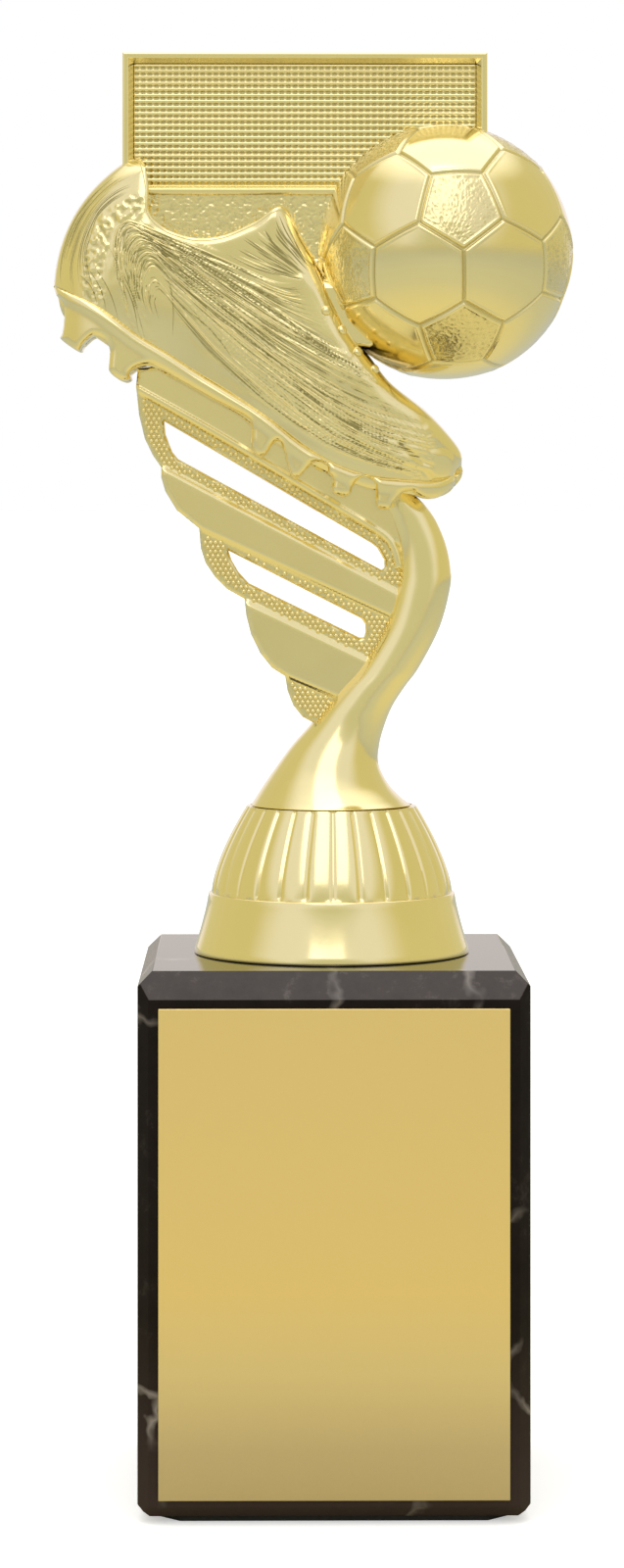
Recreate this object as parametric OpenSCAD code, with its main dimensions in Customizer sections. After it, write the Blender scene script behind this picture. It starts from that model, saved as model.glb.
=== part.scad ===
// Football trophy: a gold plastic boot, ball and goal net on a winged stem,
// screwed through a fluted riser to a marble block with an engraving plate.
// Origin: centre of the underside of the base pad. +Z is up, the plate faces -Y.

/* [Marble base] */
// Width and depth of the marble block
base_w = 65; // [60:1:80]
// Height of the marble block
base_h = 90; // [86:1:120]
// Drop of the bevel along the front and back top edges
front_bevel = 4.5; // [3:0.5:5]
// Bevel along the two side top edges
side_bevel = 2.4; // [1:0.2:3]
// Bevel of the upright edges
upright_bevel = 1.9; // [1:0.1:2.5]
// Bevel round the bottom edges
bottom_bevel = 2; // [1:0.5:3]
// Thickness of the soft pad under the block
pad_t = 1; // [0.5:0.5:2]

/* [Engraving plate] */
// Width of the blank metal plate
plate_w = 58; // [40:1:59]
// Height of the blank metal plate
plate_h = 81; // [40:1:81]
// Thickness of the metal plate
plate_t = 0.5; // [0.3:0.1:1]

/* [Riser] */
// Height of the fluted riser
riser_h = 25.2; // [22:0.2:30]
// Radius at the foot of the riser
riser_foot_r = 23.7; // [22:0.1:25]
// Number of flutes round the riser
flute_count = 28; // [20:1:36]

/* [Figure] */
// Radius of the ball
ball_r = 22.1; // [20.6:0.1:22.4]
// Largest half width of the boot, across the trophy
boot_half_w = 10.8; // [9:0.2:14]
// Wall thickness of the plated mouldings
wall = 1.6; // [1.2:0.1:2]
// Half thickness of the raised wing blades
blade_half_t = 3.2; // [2.8:0.1:4]

/* [Tie rod] */
// Radius of the threaded tie rod (M6)
rod_r = 3; // [2.5:0.5:3.5]

/* [Hidden] */
$fn = 96;
eps = 0.01;

gold = [0.87, 0.80, 0.50];
plate_gold = [0.80, 0.69, 0.41];
marble_black = [0.12, 0.10, 0.10];
steel_grey = [0.62, 0.63, 0.65];

// Heights of the stack
base_top = pad_t + base_h;
figure_z = base_top + riser_h;

// Hardware in the base
rod_clearance = 0.4;
counterbore_r = 13;
counterbore_h = 12;
nut_flats = 10;
nut_t = 5;
washer_t = 1.6;
washer_r = 9;
spring_t = 1.6;
cavity_top = pad_t + counterbore_h;

// Plate and its tape
tape_t = 0.2;
tape_margin = 1;
plate_bottom = pad_t + 3.1;

// Riser profile
band_h = 10.4;
band_top_r = 21.2;
dome_foot_r = 20.7;
dome_top_r = 14.6;
dome_power = 1.5;
riser_wall = 2;
boss_r = 6.5;
flute_r = 1.1;

// Everything below is in the figure's own frame: x, and z above the riser's top.
// Stem: centre line and radius, from the round foot to the tip under the toe.
stem_path = [
    [-0.1, 0, 13.8], [-0.3, 2.9, 11.3], [-0.4, 5.9, 8.7], [0.7, 9.1, 7.1], [2.5, 12.4, 5.9],
    [4.9, 16.6, 4.9], [7.8, 21, 4.2], [10.7, 24.7, 3.9], [13.3, 29.8, 3.9], [15.2, 35.2, 4.1],
    [15.9, 41, 4.1], [15.3, 45.6, 3.9], [14.1, 49.8, 3.5], [12.6, 52.8, 2.2]
];

// Wing panel: outline clockwise from the upper left corner
wing_outline = [
    [-33.3, 75.1], [-33.6, 72.1], [-33.1, 67.2], [-32.1, 63.1], [-30.7, 60.2], [-29.3, 58.2],
    [-29.3, 56.5], [-28.6, 54.1], [-26.6, 50.8], [-22.8, 47.7], [-22.5, 44.3], [-21.7, 41.8],
    [-20.1, 39.4], [-18, 37.3], [-15, 35.6], [-14.7, 32.8], [-13.9, 29.6], [-12.3, 26.3],
    [-10.3, 23.8], [-8, 22.3], [-7.6, 19.8], [-6.6, 17.3], [-5, 15.3], [-2.7, 14.1],
    [1.6, 18.5], [6.9, 25.9], [9.8, 30.4], [11, 33.6], [12.2, 37.7], [12.4, 40.6],
    [11.4, 44.3], [11.4, 49], [12, 53], [10, 53], [6, 54.2], [2, 55.4], [-2, 57.2],
    [-6, 59.6], [-11.3, 63], [-15.3, 66.3], [-25.2, 72], [-30, 74.5]
];
slot_upper = [
    [-28.8, 66.1], [-28.6, 63.9], [-27.4, 60.8], [-26.4, 59.6], [8.9, 40.4], [9.2, 41.8],
    [7.9, 44.3], [6.9, 45.1]
];
slot_lower = [
    [-17.8, 43.9], [-17.2, 42.2], [-16, 40.2], [-14.3, 38.3], [5.1, 28.8], [5.9, 29.8],
    [5.8, 31.2], [5.1, 32.2]
];
blade_upper = [
    [-29.1, 58.4], [-29.3, 56.5], [-28.6, 54.1], [-26.6, 50.8], [-22.9, 47.8], [10, 32.4],
    [11.4, 36.9]
];
blade_lower = [
    [-15, 35.5], [-14.7, 32.8], [-13.9, 29.6], [-12.3, 26.3], [-10.3, 23.8], [-8, 22.4],
    [1.2, 18.5], [6.3, 25.4]
];
wing_rim = [[-33.6, 72.7], [-33.6, 71.2], [10.2, 45], [9.8, 46.7]];
band_half_t = 2.2;

// Boot: each row is one rib from heel to toe: underside x z, seam x z, top x z,
// and its half width as a fraction of the largest
boot_ribs = [
    [-47.2, 87.6, -47.8, 89.4, -35.6, 110.8, 0],
    [-46.0, 84.2, -45.0, 88.1, -31.8, 110.2, 0.5],
    [-44.0, 82.4, -42.5, 87.0, -31.5, 106.0, 0.68],
    [-41.0, 80.8, -39.5, 85.3, -30.7, 101.0, 0.78],
    [-38.2, 78.9, -36.8, 83.4, -27.8, 98.6, 0.82],
    [-34.6, 76.2, -32.9, 80.5, -22.9, 97.1, 0.83],
    [-30.0, 75.1, -28.1, 77.6, -18.1, 97.6, 0.83],
    [-25.2, 72.6, -23.5, 74.6, -13.3, 99.9, 0.84],
    [-20.0, 69.5, -19.0, 71.9, -8.4, 102.5, 0.87],
    [-15.3, 66.9, -14.5, 69.0, -5.4, 97.9, 0.91],
    [-11.3, 63.6, -10.0, 65.9, -2.3, 92.1, 0.95],
    [-6.0, 60.2, -5.2, 62.2, -0.4, 86.7, 0.98],
    [-2.0, 58.0, -1.5, 59.8, 2.4, 81.2, 1],
    [2.3, 56.0, 2.5, 57.9, 6.2, 76.6, 0.98],
    [6.6, 54.6, 6.8, 56.7, 10.0, 72.4, 0.94],
    [12.0, 53.8, 12.3, 56.1, 15.9, 68.0, 0.84],
    [17.2, 53.0, 17.0, 55.8, 19.8, 64.0, 0.64],
    [20.2, 54.0, 20.0, 56.3, 22.1, 60.9, 0.4],
    [21.7, 56.2, 21.3, 57.0, 22.4, 58.5, 0]
];
heel_bow = 3;
heel_ribs = 6;
rib_steps = 14;
sole_lip = 0.6;
seam_fraction = 0.9;
// Studs: tip x z, root x z, shared by both rows
studs = [
    [-45.0, 79.2, -42.6, 83.2], [-36.6, 73.6, -35.0, 77.4], [-12.2, 60.3, -10.8, 64.4],
    [-5.9, 56.8, -4.8, 61], [2.1, 53.6, 2.8, 57], [9.1, 51.1, 9.9, 54.8]
];
stud_tip_r = 1.6;
stud_root_r = 2.6;
stud_y = 5.2;

// Ball centre and the goal panel
ball_x = 19.5;
ball_z = 95.3;
part_gap = 0.1;
goal_left = -35.9;
goal_right = 26.7;
goal_bottom = 105;
goal_top = 129.4;
goal_bar = 1.8;
goal_half_t = 2.8;
net_half_t = 1.2;
net_rib_count = 20;
net_rib = 0.4;
// Stippled plate that fills the space between goal, boot and ball
backing_outline = [
    [-32.2, 105], [-32.2, 103.5], [-31.4, 101.6], [-27.6, 98.8], [-24.6, 97.6], [-21.3, 97.3],
    [-18, 97.8], [-14.9, 99.1], [-11.7, 101.1], [-8.4, 103], [-7, 101.3], [-5, 98.1],
    [-2, 92.6], [3, 97], [8, 105]
];
backing_half_t = 1.6;

function lerp(a, b, t) = a + (b - a) * t;
function flip_faces(faces) = [for (f = faces) [for (i = [len(f) - 1:-1:0]) f[i]]];
function flat(rows) = [for (row = rows) for (p = row) p];
// Two triangles for each cell of a grid of points, rows by cols, starting at index s
function grid_faces(rows, cols, s) = [
    for (i = [0:rows - 2])
        for (j = [0:cols - 2])
            for (tri = [[0, 1, cols + 1], [0, cols + 1, cols]])
                [for (k = tri) s + i * cols + j + k]
];
// Two triangles for each step along two edges given as lists of indices
function edge_faces(a, b) = [
    for (i = [0:len(a) - 2])
        for (tri = [[a[i], b[i], b[i + 1]], [a[i], b[i + 1], a[i + 1]]])
            tri
];

// A closed wall between an outer and an inner grid of points of the same size
module grid_shell(outer, inner) {
    rows = len(outer);
    cols = len(outer[0]);
    n = rows * cols;
    first_row = [for (j = [0:cols - 1]) j];
    last_row = [for (j = [0:cols - 1]) (rows - 1) * cols + j];
    first_col = [for (i = [0:rows - 1]) i * cols];
    last_col = [for (i = [0:rows - 1]) i * cols + cols - 1];
    polyhedron(
        points = concat(flat(outer), flat(inner)),
        faces = concat(
            grid_faces(rows, cols, 0),
            flip_faces(grid_faces(rows, cols, n)),
            edge_faces(first_row, [for (k = first_row) k + n]),
            flip_faces(edge_faces(last_row, [for (k = last_row) k + n])),
            flip_faces(edge_faces(first_col, [for (k = first_col) k + n])),
            edge_faces(last_col, [for (k = last_col) k + n])
        ),
        convexity = 10
    );
}

// A closed solid through a list of rings with equal numbers of points
module loft(rings) {
    count = len(rings[0]);
    closed = [for (ring = rings) concat(ring, [ring[0]])];
    cols = count + 1;
    last = (len(rings) - 1) * cols;
    polyhedron(
        points = flat(closed),
        faces = flip_faces(concat(
            grid_faces(len(rings), cols, 0),
            [[for (j = [count - 1:-1:0]) j]],
            [[for (j = [0:count - 1]) last + j]]
        )),
        convexity = 10
    );
}

module marble_profile(top, drop, bottom) {
    half = base_w / 2;
    polygon([
        [-half + bottom, pad_t], [half - bottom, pad_t], [half, pad_t + bottom],
        [half, base_top - drop], [half - top, base_top], [-half + top, base_top],
        [-half, base_top - drop], [-half, pad_t + bottom]
    ]);
}

module chamfered_square(size, bevel) {
    half = size / 2;
    near = half - bevel;
    polygon([
        [-near, -half], [near, -half], [half, -near], [half, near], [near, half],
        [-near, half], [-half, near], [-half, -near]
    ]);
}

module upright(half_t) {
    rotate([90, 0, 0])
        linear_extrude(height = 2 * half_t, center = true)
            children();
}

module hex_prism(flats, height) {
    cylinder(r = flats / 2 / cos(30), h = height, $fn = 6);
}

module base_pad() {
    color([0.15, 0.15, 0.15])
        linear_extrude(height = pad_t)
            chamfered_square(base_w - 6, 4);
}

module marble_base() {
    color(marble_black)
        difference() {
            intersection() {
                upright(base_w)
                    marble_profile(side_bevel, side_bevel, bottom_bevel);
                rotate([0, 0, 90])
                    upright(base_w)
                        marble_profile(front_bevel * 0.6, front_bevel, bottom_bevel);
                linear_extrude(height = base_top + 1)
                    chamfered_square(base_w, upright_bevel);
            }
            translate([0, 0, pad_t - eps])
                cylinder(r = counterbore_r, h = counterbore_h + eps);
            cylinder(r = rod_r + rod_clearance, h = base_top + 1);
        }
}

module plate_tape() {
    color([0.9, 0.88, 0.8])
        translate([-plate_w / 2 + tape_margin, -base_w / 2 - tape_t, plate_bottom + tape_margin])
            cube([plate_w - 2 * tape_margin, tape_t, plate_h - 2 * tape_margin]);
}

module engraving_plate() {
    color(plate_gold)
        translate([-plate_w / 2, -base_w / 2 - tape_t - plate_t, plate_bottom])
            cube([plate_w, plate_t, plate_h]);
}

module tie_rod() {
    bottom = cavity_top - washer_t - spring_t - nut_t - 1.5;
    color(steel_grey)
        translate([0, 0, bottom])
            cylinder(r = rod_r, h = figure_z + 6.5 - bottom);
}

module base_nut() {
    color(steel_grey)
        translate([0, 0, cavity_top - washer_t - spring_t - nut_t])
            difference() {
                hex_prism(nut_flats, nut_t);
                translate([0, 0, -1])
                    cylinder(r = rod_r + 0.02, h = nut_t + 2);
            }
}

module spring_washer() {
    split = 12;
    color(steel_grey)
        translate([0, 0, cavity_top - washer_t - spring_t])
            rotate_extrude(angle = 360 - split)
                translate([rod_r + 0.1, 0])
                    square([2.4, spring_t]);
}

module flat_washer() {
    color(steel_grey)
        translate([0, 0, cavity_top - washer_t])
            difference() {
                cylinder(r = washer_r, h = washer_t);
                translate([0, 0, -1])
                    cylinder(r = rod_r + 0.2, h = washer_t + 2);
            }
}

// Radius of the dome at a fraction of its height
function dome_r(t) = dome_foot_r - (dome_foot_r - dome_top_r) * pow(t, dome_power);

module riser() {
    steps = 10;
    dome_h = riser_h - band_h;
    tilt = atan2(dome_foot_r - dome_top_r, dome_h);
    outer = concat(
        [[riser_foot_r, 0], [band_top_r, band_h]],
        [for (i = [0:steps]) [dome_r(i / steps), band_h + dome_h * i / steps]]
    );
    inner = concat(
        [
            for (i = [steps - 1:-1:0])
                [dome_r(i / steps) - riser_wall, band_h + (dome_h - riser_wall) * i / steps]
        ],
        [[riser_foot_r - riser_wall, 0]]
    );
    color(gold)
        translate([0, 0, base_top])
            difference() {
                union() {
                    rotate_extrude()
                        polygon(concat([[0, riser_h]], [for (i = [len(outer) - 1:-1:0]) outer[i]],
                                       [for (i = [len(inner) - 1:-1:0]) inner[i]],
                                       [[0, riser_h - riser_wall]]));
                    cylinder(r = boss_r, h = riser_h - eps);
                }
                translate([0, 0, -1])
                    cylinder(r = rod_r + rod_clearance / 2, h = riser_h + 2);
                for (i = [0:flute_count - 1])
                    rotate([0, 0, (i + 0.5) * 360 / flute_count])
                        translate([dome_foot_r + 0.75, 0, band_h])
                            rotate([0, -tilt, 0])
                                cylinder(r = flute_r, h = dome_h + 4, $fn = 24);
            }
}

module foot_plug() {
    color([0.85, 0.85, 0.82])
        translate([0, 0, figure_z])
            difference() {
                rotate_extrude()
                    polygon([[0, 0], [11, 0], [8.9, 2.3], [7.4, 4.2], [6.5, 5.6], [0, 5.6]]);
                translate([0, 0, 0.8])
                    hex_prism(nut_flats + 0.1, 6);
                translate([0, 0, -1])
                    cylinder(r = rod_r + rod_clearance / 2, h = 3);
            }
}

module figure_nut() {
    color(steel_grey)
        translate([0, 0, figure_z + 0.8])
            difference() {
                hex_prism(nut_flats, nut_t - 0.4);
                translate([0, 0, -1])
                    cylinder(r = rod_r + 0.02, h = nut_t + 2);
            }
}

// Direction of the stem's centre line at point i
function stem_dir(i) = let (
    a = stem_path[max(i - 1, 0)],
    b = stem_path[min(i + 1, len(stem_path) - 1)],
    d = [b[0] - a[0], b[1] - a[1]]
) i == 0 ? [0, 1] : d / norm(d);

// Half ring round the stem's centre line, r out from it, on the -Y side
function stem_arc(i, r) = [
    for (k = [0:rib_steps]) let (
        a = 180 * k / rib_steps,
        d = stem_dir(i),
        side = r * cos(a)
    ) [stem_path[i][0] + side * d[1], -r * sin(a), stem_path[i][1] - side * d[0]]
];

module stem_half() {
    last = len(stem_path) - 1;
    outer = [for (i = [0:last]) stem_arc(i, stem_path[i][2])];
    inner = [for (i = [0:last]) stem_arc(i, max(stem_path[i][2] - wall, 0.5))];
    translate([0, 0, figure_z])
        grid_shell(outer, inner);
}

module wing_panel() {
    color(gold)
        translate([0, 0, figure_z])
            difference() {
                union() {
                    upright(band_half_t)
                        polygon(wing_outline);
                    upright(blade_half_t)
                        polygon(blade_upper);
                    upright(blade_half_t)
                        polygon(blade_lower);
                    upright(blade_half_t)
                        polygon(wing_rim);
                }
                upright(blade_half_t + 1)
                    polygon(slot_upper);
                upright(blade_half_t + 1)
                    polygon(slot_lower);
            }
}

function rib_at(u) = let (
    last = len(boot_ribs) - 1,
    i = min(floor(u * last), last - 1)
) lerp(boot_ribs[i], boot_ribs[i + 1], u * last - i);

// Outward bow of the heel ribs at height fraction t
function heel_curve(u, t) = let (
    fade = max(1 - u * (len(boot_ribs) - 1) / heel_ribs, 0)
) heel_bow * fade * 4 * t * (1 - t) * [-0.87, 0.49];

// How far the upper stands out at height fraction t: full at a quarter, none at the top
function upper_swell(t) = t < 0.25
    ? lerp(seam_fraction, 1, sin(360 * t))
    : sqrt(max(1 - pow((t - 0.25) / 0.75, 2.6), 0));

function upper_point(u, t, k) = let (
    rib = rib_at(u),
    bow = heel_curve(u, t)
) [
    lerp(rib[2], rib[4], t) + bow[0],
    -boot_half_w * rib[6] * upper_swell(k),
    lerp(rib[3], rib[5], t) + bow[1]
];

module boot_half() {
    last = len(boot_ribs) - 1;
    inset = 0.03;
    thin = 1 - wall / boot_half_w;
    outer = [
        for (i = [0:last])
            [for (j = [0:rib_steps]) upper_point(i / last, j / rib_steps, j / rib_steps)]
    ];
    inner = [
        for (i = [0:last])
            [
                for (j = [0:rib_steps]) let (
                    u = lerp(inset, 1 - inset, i / last),
                    t = lerp(0.02, 0.93, j / rib_steps),
                    p = upper_point(u, t, j / rib_steps),
                    q = outer[i][j]
                ) [p[0], q[1] * thin, p[2]]
            ]
    ];
    translate([0, 0, figure_z])
        grid_shell(outer, inner);
}

module sole_half() {
    rings = [
        for (rib = boot_ribs) let (
            w = max(boot_half_w * rib[6] * seam_fraction + sole_lip, 0.8),
            mid_x = lerp(rib[0], rib[2], 0.6),
            mid_z = lerp(rib[1], rib[3], 0.6)
        ) [
            [rib[2], 0, rib[3]], [rib[2], -w + 0.4, rib[3]], [mid_x, -w, mid_z],
            [rib[0], -w + 0.7, rib[1]], [rib[0], 0, rib[1]]
        ]
    ];
    translate([0, 0, figure_z]) {
        loft(rings);
        for (s = studs) {
            rise = [s[2] - s[0], s[3] - s[1]];
            translate([s[0], -stud_y, s[1]])
                rotate([0, atan2(rise[0], rise[1]), 0])
                    cylinder(r1 = stud_tip_r, r2 = stud_root_r, h = norm(rise) - 0.8, $fn = 24);
        }
    }
}

module ball_half() {
    translate([ball_x, 0, figure_z + ball_z])
        rotate([90, 0, 0])
            rotate_extrude()
                intersection() {
                    difference() {
                        circle(r = ball_r);
                        circle(r = ball_r - wall);
                    }
                    square([ball_r + 1, ball_r + 1]);
                }
}

// Room for the ball in the goal panel
module ball_room() {
    translate([ball_x, 0, ball_z])
        sphere(r = ball_r + part_gap);
}

module goal_rect(inset) {
    translate([goal_left + inset, goal_bottom + inset])
        square([goal_right - goal_left - 2 * inset, goal_top - goal_bottom - 2 * inset]);
}

module goal_frame() {
    color(gold)
        translate([0, 0, figure_z])
            difference() {
                upright(goal_half_t)
                    difference() {
                        goal_rect(0);
                        goal_rect(goal_bar);
                    }
                ball_room();
            }
}

module goal_net() {
    pitch = (goal_top - goal_bottom - 2 * goal_bar) / net_rib_count;
    width = goal_right - goal_left - 2 * goal_bar;
    color(gold)
        translate([0, 0, figure_z])
            difference() {
                union() {
                    upright(net_half_t)
                        goal_rect(goal_bar);
                    for (i = [0:net_rib_count - 1])
                        translate([goal_left + goal_bar, -net_half_t - net_rib,
                                   goal_bottom + goal_bar + (i + 0.3) * pitch])
                            cube([width, 2 * (net_half_t + net_rib), pitch * 0.4]);
                }
                ball_room();
            }
}

module backing_plate() {
    color(gold)
        translate([0, 0, figure_z])
            difference() {
                upright(backing_half_t)
                    polygon(backing_outline);
                ball_room();
            }
}

module stem_front() {
    color(gold)
        stem_half();
}

module stem_back() {
    color(gold)
        mirror([0, 1, 0])
            stem_half();
}

module sole_front() {
    color(gold)
        sole_half();
}

module sole_back() {
    color(gold)
        mirror([0, 1, 0])
            sole_half();
}

module boot_front() {
    color(gold)
        boot_half();
}

module boot_back() {
    color(gold)
        mirror([0, 1, 0])
            boot_half();
}

module ball_front() {
    color(gold)
        ball_half();
}

module ball_back() {
    color(gold)
        mirror([0, 1, 0])
            ball_half();
}

base_pad();
marble_base();
plate_tape();
engraving_plate();
tie_rod();
base_nut();
spring_washer();
flat_washer();
riser();
foot_plug();
figure_nut();
stem_front();
stem_back();
wing_panel();
sole_front();
sole_back();
boot_front();
boot_back();
ball_front();
ball_back();
goal_frame();
goal_net();
backing_plate();
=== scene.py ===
"""The looks of the football trophy: a gold-plated figure on a fluted riser and a black marble block.

Lengths of the figure's relief are in millimetres, in the figure's own frame: x to the right,
y away from the viewer and z above the riser's top. place() turns them into metres in the row frame.
"""

import math

import bmesh
import bpy
import numpy as np
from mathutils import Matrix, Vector, bvhtree, geometry, kdtree


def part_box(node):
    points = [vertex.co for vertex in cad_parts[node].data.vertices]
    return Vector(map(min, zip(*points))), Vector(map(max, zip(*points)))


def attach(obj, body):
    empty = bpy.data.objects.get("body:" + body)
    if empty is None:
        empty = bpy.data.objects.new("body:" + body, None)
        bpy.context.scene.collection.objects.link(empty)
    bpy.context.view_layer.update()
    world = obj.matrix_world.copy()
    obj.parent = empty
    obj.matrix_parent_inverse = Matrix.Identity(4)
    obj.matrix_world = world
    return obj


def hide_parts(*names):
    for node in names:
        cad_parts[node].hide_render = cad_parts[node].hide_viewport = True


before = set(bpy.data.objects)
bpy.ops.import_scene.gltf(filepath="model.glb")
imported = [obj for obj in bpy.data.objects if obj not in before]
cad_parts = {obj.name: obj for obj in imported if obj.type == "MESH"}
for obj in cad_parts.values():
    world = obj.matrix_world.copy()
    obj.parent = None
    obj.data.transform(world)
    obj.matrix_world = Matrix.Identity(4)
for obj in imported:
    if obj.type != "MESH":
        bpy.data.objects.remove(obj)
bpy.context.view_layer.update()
scene = bpy.context.scene

MM = 0.001
FIGURE_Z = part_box("foot_plug")[0].z
BLOCK_LOW, BLOCK_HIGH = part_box("marble_base")
PLATE_LOW, PLATE_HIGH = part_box("engraving_plate")
GOAL_LOW, GOAL_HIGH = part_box("goal_frame")
BALL_LOW, BALL_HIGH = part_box("ball_front")
RISER_LOW, RISER_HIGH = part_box("riser")


# ---------------------------------------------------------------- small geometry tools

def smooth_line(points, steps):
    """A Catmull-Rom curve through the points, with that many steps between each two."""
    p = np.asarray(points, float)
    p = np.vstack([2 * p[0] - p[1], p, 2 * p[-1] - p[-2]])
    t = np.linspace(0, 1, steps, endpoint=False)[:, None]
    out = []
    for a, b, c, d in zip(p, p[1:], p[2:], p[3:]):
        out.append(0.5 * (2 * b + (c - a) * t + (2 * a - 5 * b + 4 * c - d) * t ** 2
                          + (3 * b - a - 3 * c + d) * t ** 3))
    return np.vstack(out + [p[-2:-1]])


def resample(polygon, step):
    """Points round a polygon about that far apart, its own corners kept."""
    p = np.asarray(polygon, float)
    out = []
    for a, b in zip(p, np.roll(p, -1, 0)):
        count = max(1, round(np.linalg.norm(b - a) / step))
        out.append(a + (b - a) * (np.arange(count) / count)[:, None])
    return np.vstack(out)


def inside(points, polygon):
    """Which points lie inside the polygon."""
    x, z = points[:, 0], points[:, 1]
    hit = np.zeros(len(points), bool)
    for (xa, za), (xb, zb) in zip(polygon, np.roll(polygon, -1, 0)):
        if za != zb:
            crosses = (za > z) != (zb > z)
            hit ^= crosses & (x < (xb - xa) * (z - za) / (zb - za) + xa)
    return hit


def distance(points, line, closed=True):
    """Distance from each point to a polyline."""
    line = np.asarray(line, float)
    ends = np.roll(line, -1, 0) if closed else line[1:]
    best = np.full(len(points), 1e9)
    for a, b in zip(line, ends):
        d = b - a
        t = np.clip(((points - a) @ d) / max(d @ d, 1e-12), 0, 1)
        best = np.minimum(best, np.linalg.norm(points - a - t[:, None] * d, axis=1))
    return best


def signed_distance(points, polygon):
    """Distance to a polygon's edge, positive inside."""
    polygon = np.asarray(polygon, float)
    return np.where(inside(points, polygon), 1, -1) * distance(points, polygon)


def ease(a, b, x):
    """Rises smoothly from 0 at a to 1 at b."""
    t = np.clip((x - a) / (b - a), 0, 1)
    return t * t * (3 - 2 * t)


def fillet(d, radius):
    """How far a surface drops at a distance d inside a rounded edge."""
    inner = np.clip(radius - d, 0, radius)
    return radius - np.sqrt(radius ** 2 - inner ** 2)


def lattice_noise(points, cell, seed):
    """Smooth value noise from -1 to 1 at points in 2 or 3 dimensions."""
    points = np.asarray(points, float) / cell
    dims = points.shape[1]
    size = 32
    table = np.random.RandomState(seed).uniform(-1, 1, (size,) * dims)
    base = np.floor(points).astype(int)
    f = points - base
    f = f * f * (3 - 2 * f)
    total = np.zeros(len(points))
    for corner in np.ndindex(*(2,) * dims):
        weight = np.ones(len(points))
        index = []
        for k, c in enumerate(corner):
            weight *= f[:, k] if c else 1 - f[:, k]
            index.append((base[:, k] + c) % size)
        total += weight * table[tuple(index)]
    return total


def hammered(points, cell, seed):
    """Leathery relief: two sizes of ridged noise."""
    big = 1 - np.abs(lattice_noise(points, cell, seed)) * 2
    small = lattice_noise(points, cell * 0.5, seed + 1)
    return 0.6 * big + 0.5 * small


# ---------------------------------------------------------------- making meshes

def place(points):
    """From millimetres in the figure's frame to metres in the row frame."""
    return np.asarray(points, float) * MM + (0, 0, FIGURE_Z)


def in_figure(point):
    """From metres in the row frame to millimetres in the figure's frame."""
    return (np.array(point) - (0, 0, FIGURE_Z)) / MM


def link_object(name, data):
    obj = bpy.data.objects.new(name, data)
    scene.collection.objects.link(obj)
    return obj


def gold_piece(name, verts, faces, node="", sharp_angle=None, recess=None):
    """A closed gold mesh with smooth shading, which stands for a CAD node if one is named.

    Its points are in millimetres in the figure's frame, and the last argument says how much painted
    shade each of them has.
    """
    mesh = bpy.data.meshes.new(name)
    mesh.from_pydata(place(verts).tolist(), [], faces)
    bm = bmesh.new()
    bm.from_mesh(mesh)
    bmesh.ops.recalc_face_normals(bm, faces=bm.faces)
    bm.to_mesh(mesh)
    bm.free()
    mesh.polygons.foreach_set("use_smooth", [True] * len(mesh.polygons))
    if sharp_angle is not None:
        mesh.set_sharp_from_angle(angle=math.radians(sharp_angle))
    # the painted shade rides on the mesh as a point attribute for the gold shader
    if recess is not None:
        mesh.attributes.new("recess", "FLOAT", "POINT").data.foreach_set("value", np.clip(recess, 0, 1))
    mesh.materials.append(GOLD)
    mesh.update()
    stand_in(link_object(name, mesh), "gold_plastic", *([node] if node else []))


def stand_in(obj, slot, *nodes):
    """The object rides on the trophy's one body and stands for these CAD nodes."""
    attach(obj, "root")
    if nodes:
        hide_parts(*nodes)


def flipped(points):
    """The same points on the other side of the trophy."""
    return np.asarray(points) * (1, -1, 1)


def both_sides(name, verts, faces, node="", **finish):
    """A gold piece and its mirror image. {} in the names of piece and node becomes front or back."""
    gold_piece(name.format("front"), verts, faces, node.format("front"), **finish)
    gold_piece(name.format("back"), flipped(verts), faces, node.format("back"), **finish)


def grid_quads(rows, cols, cyclic):
    """The quads of a grid of points, closed round its columns if cyclic."""
    i, j = np.meshgrid(np.arange(rows - 1), np.arange(cols if cyclic else cols - 1), indexing="ij")
    k = (j + 1) % cols
    quads = np.stack([i * cols + j, i * cols + k, (i + 1) * cols + k, (i + 1) * cols + j], -1)
    return quads.reshape(-1, 4).tolist()


def loft(rings):
    """Points and faces of a closed solid through rings of points, an array of rows, columns, 3."""
    rows, cols = rings.shape[:2]
    faces = grid_quads(rows, cols, True)
    faces.append(list(range(cols - 1, -1, -1)))
    faces.append([(rows - 1) * cols + j for j in range(cols)])
    return rings.reshape(-1, 3), faces


def join(parts):
    """Lists of points and of faces as one list of each."""
    verts, faces = [], []
    start = 0
    for part_verts, part_faces in parts:
        verts.append(part_verts)
        faces += [[i + start for i in f] for f in part_faces]
        start += len(part_verts)
    return np.vstack(verts), faces


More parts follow.
